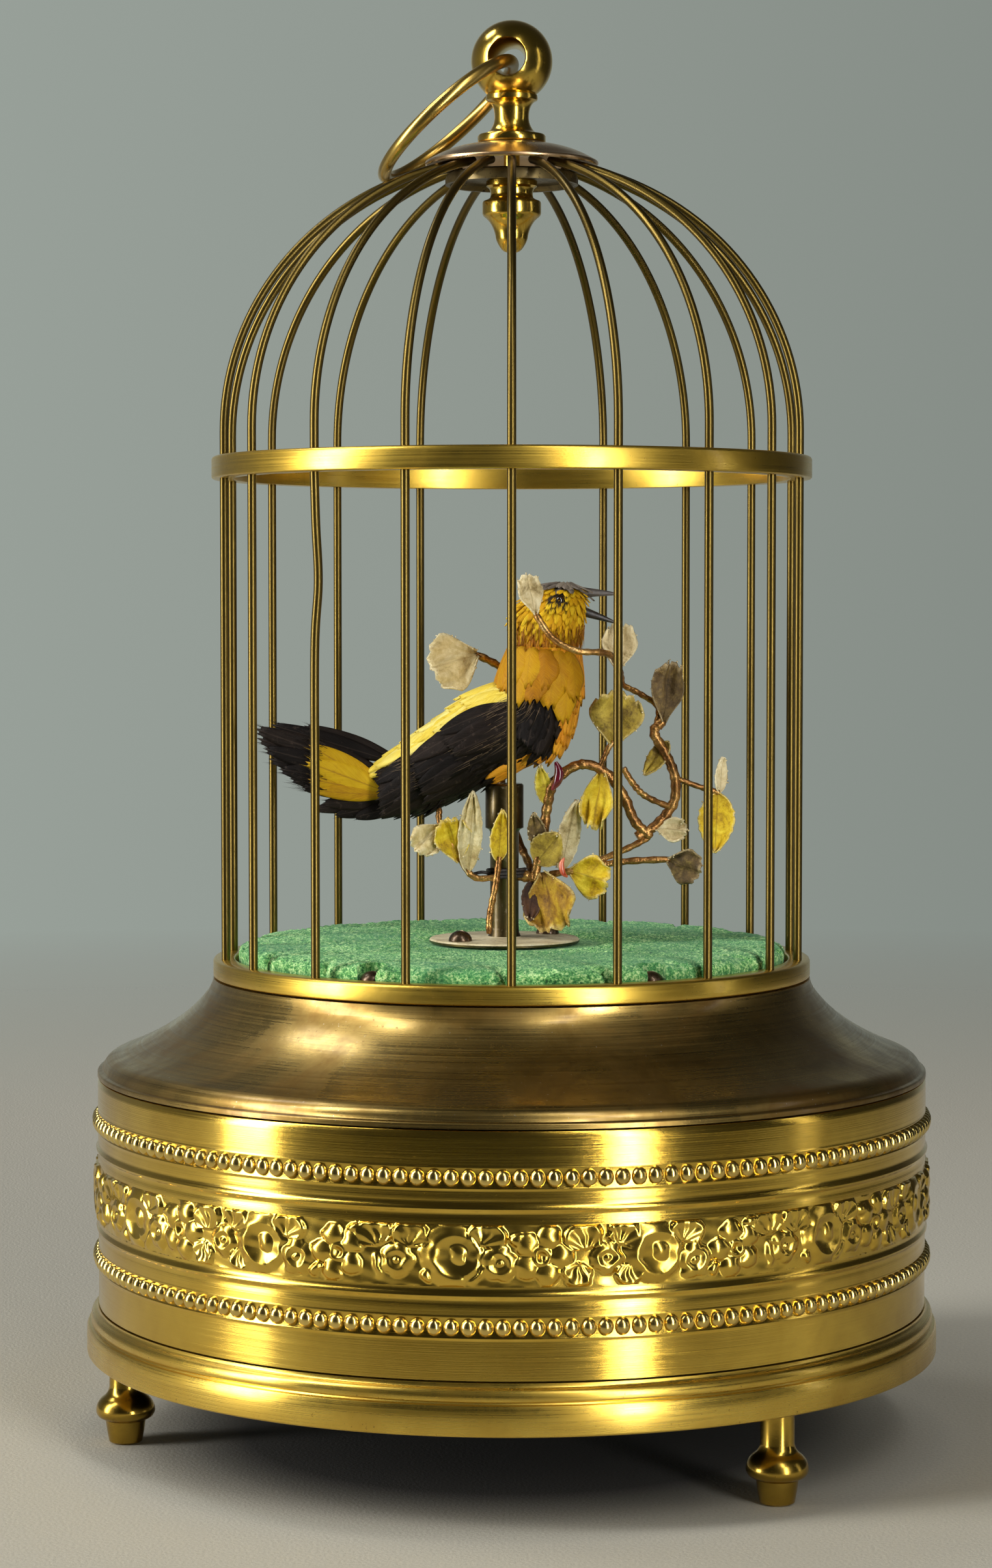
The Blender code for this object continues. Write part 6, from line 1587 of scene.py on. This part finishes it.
def buildTie():
    # black thread wound round the post and the foot of the spray, with two loose ends
    radius, steps = tieFit["radius"], tieFit["steps"]
    loops = []
    for turnNumber in range(tieFit["turns"]):
        for k in range(steps):
            a = turn * k / steps
            stretch = 1.0 + 0.28 * max(math.cos(a), 0) ** 2
            z = tieFit["low"] + (turnNumber + k / steps) * tieFit["pitch"]
            loops.append(onStand((radius * stretch * math.cos(a), radius * math.sin(a), z)) * mm)
    parts = [bentWire("tie_loops", loops, tieFit["thread"] * mm, 2)]
    for points in tieEnds:
        route = wirePath([onStand(point) for point in points], 6)
        parts.append(bentWire("tie_end", route, tieFit["end"] * mm, 2))
    dressSpray(joinAll(parts, "post_tie"), threadFinish())


buildFoliage()
buildBerries()
buildTie()
print("foliage ready")


# Works inside the base
def woodFinish(name, dark, pale):
    look = Look(name)
    rings = look.grain(1.0, 4, 0.6, 0.8, look.stretched((420, 34, 420)))
    pores = look.grain(1.0, 3, 0.7, place=look.stretched((2600, 140, 2600)))
    colour = look.between(rings, dark, pale, 0.34, 0.50, 0.64)
    colour = look.blend(pores.spread(0.58, 0.66, 0, 0.45), colour, dark)
    return look.finished(colour, {"Roughness": rings.spread(0.3, 0.7, 0.62, 0.48)},
                         [(rings, 0.2, 0.0004), (pores, 0.4, 0.0002)])


def leatherFinish():
    look = Look("pale leather")
    cells = look.node("ShaderNodeTexVoronoi", {"Vector": look.place, "Scale": 1700}, "Distance")
    stain = look.grain(130, 4, 0.6)
    colour = look.ramp(stain, [(0.35, (0.42, 0.33, 0.20)), (0.52, (0.60, 0.51, 0.36)),
                               (0.68, (0.72, 0.65, 0.50))])
    colour = look.blend(cells.spread(0.0, 0.35, 0.35, 0), colour, (0.30, 0.22, 0.12))
    return look.finished(colour, {"Roughness": 0.68, "Sheen Weight": 0.15},
                         [(stain, 0.2, 0.0006), (cells, 0.5, 0.0002)])


bellowsFit = {"low": 34.3, "high": 38.3, "middle": (-41.5, 0.0), "half": (16.5, 32.0), "corner": 1.6,
              "folds": 3, "depth": 0.55}


def bellowsOutline(inset):
    # round corners joined by straight sides, both cut up finely
    cx, cy = bellowsFit["middle"]
    hx, hy = (half - inset - bellowsFit["corner"] for half in bellowsFit["half"])
    corners = [arc(cx + sx * hx, cy + sy * hy, bellowsFit["corner"], first, first + 90, 6)
               for sx, sy, first in ((1, 1, 0), (-1, 1, 90), (-1, -1, 180), (1, -1, 270))]
    points = []
    for corner, following in zip(corners, corners[1:] + corners[:1]):
        (ex, ey), (bx, by) = corner[-1], following[0]
        points += corner + [(ex + (bx - ex) * k / 12, ey + (by - ey) * k / 12) for k in range(1, 12)]
    return points


def buildBellows():
    rings = []
    levels = bellowsFit["folds"] * 8
    for row in range(levels + 1):
        t = row / levels
        z = bellowsFit["low"] + (bellowsFit["high"] - bellowsFit["low"]) * t
        fold = bellowsFit["depth"] * (0.5 + 0.5 * math.cos(turn * t * bellowsFit["folds"]))
        ring = [Vector((x, y, z)) for x, y in bellowsOutline(fold)]
        # slightly uneven, as stretched leather is
        rings.append([p + Vector((0.06 * math.sin(p.y * 1.3 + row), 0.06 * math.sin(p.x * 1.7 + row), 0))
                      for p in ring])
    bellows = skin("bellows_folds", rings)
    dress(bellows, leatherFinish(), "bellows_leather", body=None)
    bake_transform(bellows)


def dressWorks():
    # the plain solids that stay get a finish in each of their slots
    pine = woodFinish("pine", (0.30, 0.17, 0.07), (0.62, 0.43, 0.22))
    for material, names in (
            (finishes["works brass"], ("movement_plate", "spring_barrel", "second_wheel", "governor_fan",
                                       "cam_stack")),
            (finishes["turned steel"], ("barrel_arbor", "follower_lever", "push_rod", "whistle_piston",
                                        "stop_lever", "winding_key")),
            # the near-black sheet keeps the floor under the base in deep shade
            (finishes["black sheet for shade under base"], ("bottom_plate",)),
            (pine, ("air_chest", "bellows_board", "floor_board"))):
        for name in names:
            for slot in bpy.data.objects[name].material_slots:
                slot.material = material


buildBellows()
dressWorks()
print("works ready")


# Studio
studioFit = {   # colours of the cloth behind, the dark room in front, the side rooms and the table
    "cloth": (0.268, 0.300, 0.272), "dark": (0.024, 0.024, 0.022), "side": (0.15, 0.152, 0.145),
    # the last colour on the next line is a shadow painted on the floor below the box, and the pair after it
    # is where that painted shadow fades, in metres from the middle
    "floor": (0.49, 0.472, 0.40), "floorEdge": (0.42, 1.05), "under": (0.05, 0.048, 0.044),
    "paintedShadowEdge": (0.050, 0.084), "frontEdge": (-0.31, -0.11),
}


def buildStage():
    clearSelection()
    bpy.ops.mesh.primitive_circle_add(vertices=96, radius=1.15, fill_type="NGON", location=(0, 0, -0.00002))
    floor = rename(bpy.context.object, "floor")
    look = Look("pale floor")
    weave = look.grain(1500, 2)
    away = look.length(look.place)
    # a shadow is painted on the cloth where the box stands, fading out round its base
    cloth = look.blend(weave.spread(0.35, 0.65, 0, 0.5), studioFit["floor"],
                       tuple(0.80 * part for part in studioFit["floor"]))
    under = away.spread(*studioFit["paintedShadowEdge"], 1.0, 0.0)
    material = look.finished(look.blend(under, cloth, studioFit["under"]), {"Roughness": 0.9},
                             [(weave, 0.35, 0.0004)])
    # the table fades away all round, and soonest towards the front, where the room is dark
    forward = look.parts(look.place)[1].spread(*studioFit["frontEdge"], 1.0, 0.0)
    faded = away.spread(*studioFit["floorEdge"]).maths("MAXIMUM", forward)
    solid = Value(look.tree, look.shader.outputs[0])
    mixed = look.node("ShaderNodeMixShader", {0: faded, 1: solid, 2: look.node("ShaderNodeBsdfTransparent")})
    give(mixed, look.tree.nodes["Material Output"].inputs["Surface"])
    floor.data.materials.append(material)


def addLamp(name, degrees, up, away, wide, tall, watts, colour=(1, 1, 1)):
    # a soft box that stands at an angle round the object (0 is the camera's side) and faces it
    clearSelection()
    a = math.radians(degrees)
    aim = Vector((0, 0, 0.12))
    spot = Vector((math.sin(a) * away, -math.cos(a) * away, up))
    bpy.ops.object.light_add(type="AREA", location=spot)
    lamp = rename(bpy.context.object, name)
    lamp.rotation_euler = (aim - spot).to_track_quat("-Z", "Y").to_euler()
    lamp.data.shape = "RECTANGLE"
    lamp.data.size = wide
    lamp.data.size_y = tall
    lamp.data.energy = watts
    lamp.data.color = colour


lamps = {   # degrees round, height, distance, width, height of the box, watts
    "key left": (-73, 0.42, 1.60, 0.40, 1.80, 34, (1.0, 0.985, 0.96)),
    "strip right": (31, 0.22, 1.60, 0.20, 1.70, 20, (1.0, 0.98, 0.95)),
    "strip far right": (84, 0.22, 1.55, 0.06, 1.50, 1.2, (1.0, 0.98, 0.95)),
    "high left": (-66, 1.85, 1.50, 0.36, 0.95, 12, (1.0, 0.985, 0.96)),
    "high right": (24, 1.75, 1.50, 0.22, 0.95, 8, (1.0, 0.98, 0.95)),
    "top": (-116, 1.40, 0.95, 0.40, 0.40, 3.6, (1.0, 1.0, 1.0)),
}


def buildStudio():
    for name, fit in lamps.items():
        addLamp(name, *fit)
    world = bpy.data.worlds.new("studio")
    bpy.context.scene.world = world
    world.use_nodes = True
    look = Look("studio", world.node_tree)
    x, y, z = look.parts(look.coords("Generated"))
    # a grey cloth hangs behind the object, lighter to the left; the rooms at the sides are dimmer
    side = (y - x * 0.5).spread(0.30, 0.92) * z.spread(0.15, 0.75, 1.0, 0.25)
    room = look.blend(side, studioFit["dark"], studioFit["side"])
    left, right = (tuple(part * share for part in studioFit["cloth"]) for share in (1.22, 0.84))
    hung = look.blend(x.spread(-0.2, 0.2), left, right)
    cloth = y.spread(0.82, 0.94) * z.spread(0.45, 0.6, 1.0, 0.0)
    back = look.tree.nodes["Background"]
    give(look.blend(cloth, room, hung), back.inputs["Color"])
    back.inputs["Strength"].default_value = 1.0


def buildCamera():
    bpy.ops.object.camera_add(location=(0, -0.6646, 0.15606),
                              rotation=(math.radians(90 - 2.899), 0, math.radians(0.2532)))
    camera = bpy.context.object
    camera.data.lens = 81.16
    camera.data.sensor_width = 36
    bpy.context.scene.camera = camera


buildStage()
buildStudio()
buildCamera()
bpy.context.scene.view_settings.view_transform = "Standard"
print("studio ready")

bpy.context.view_layer.update()
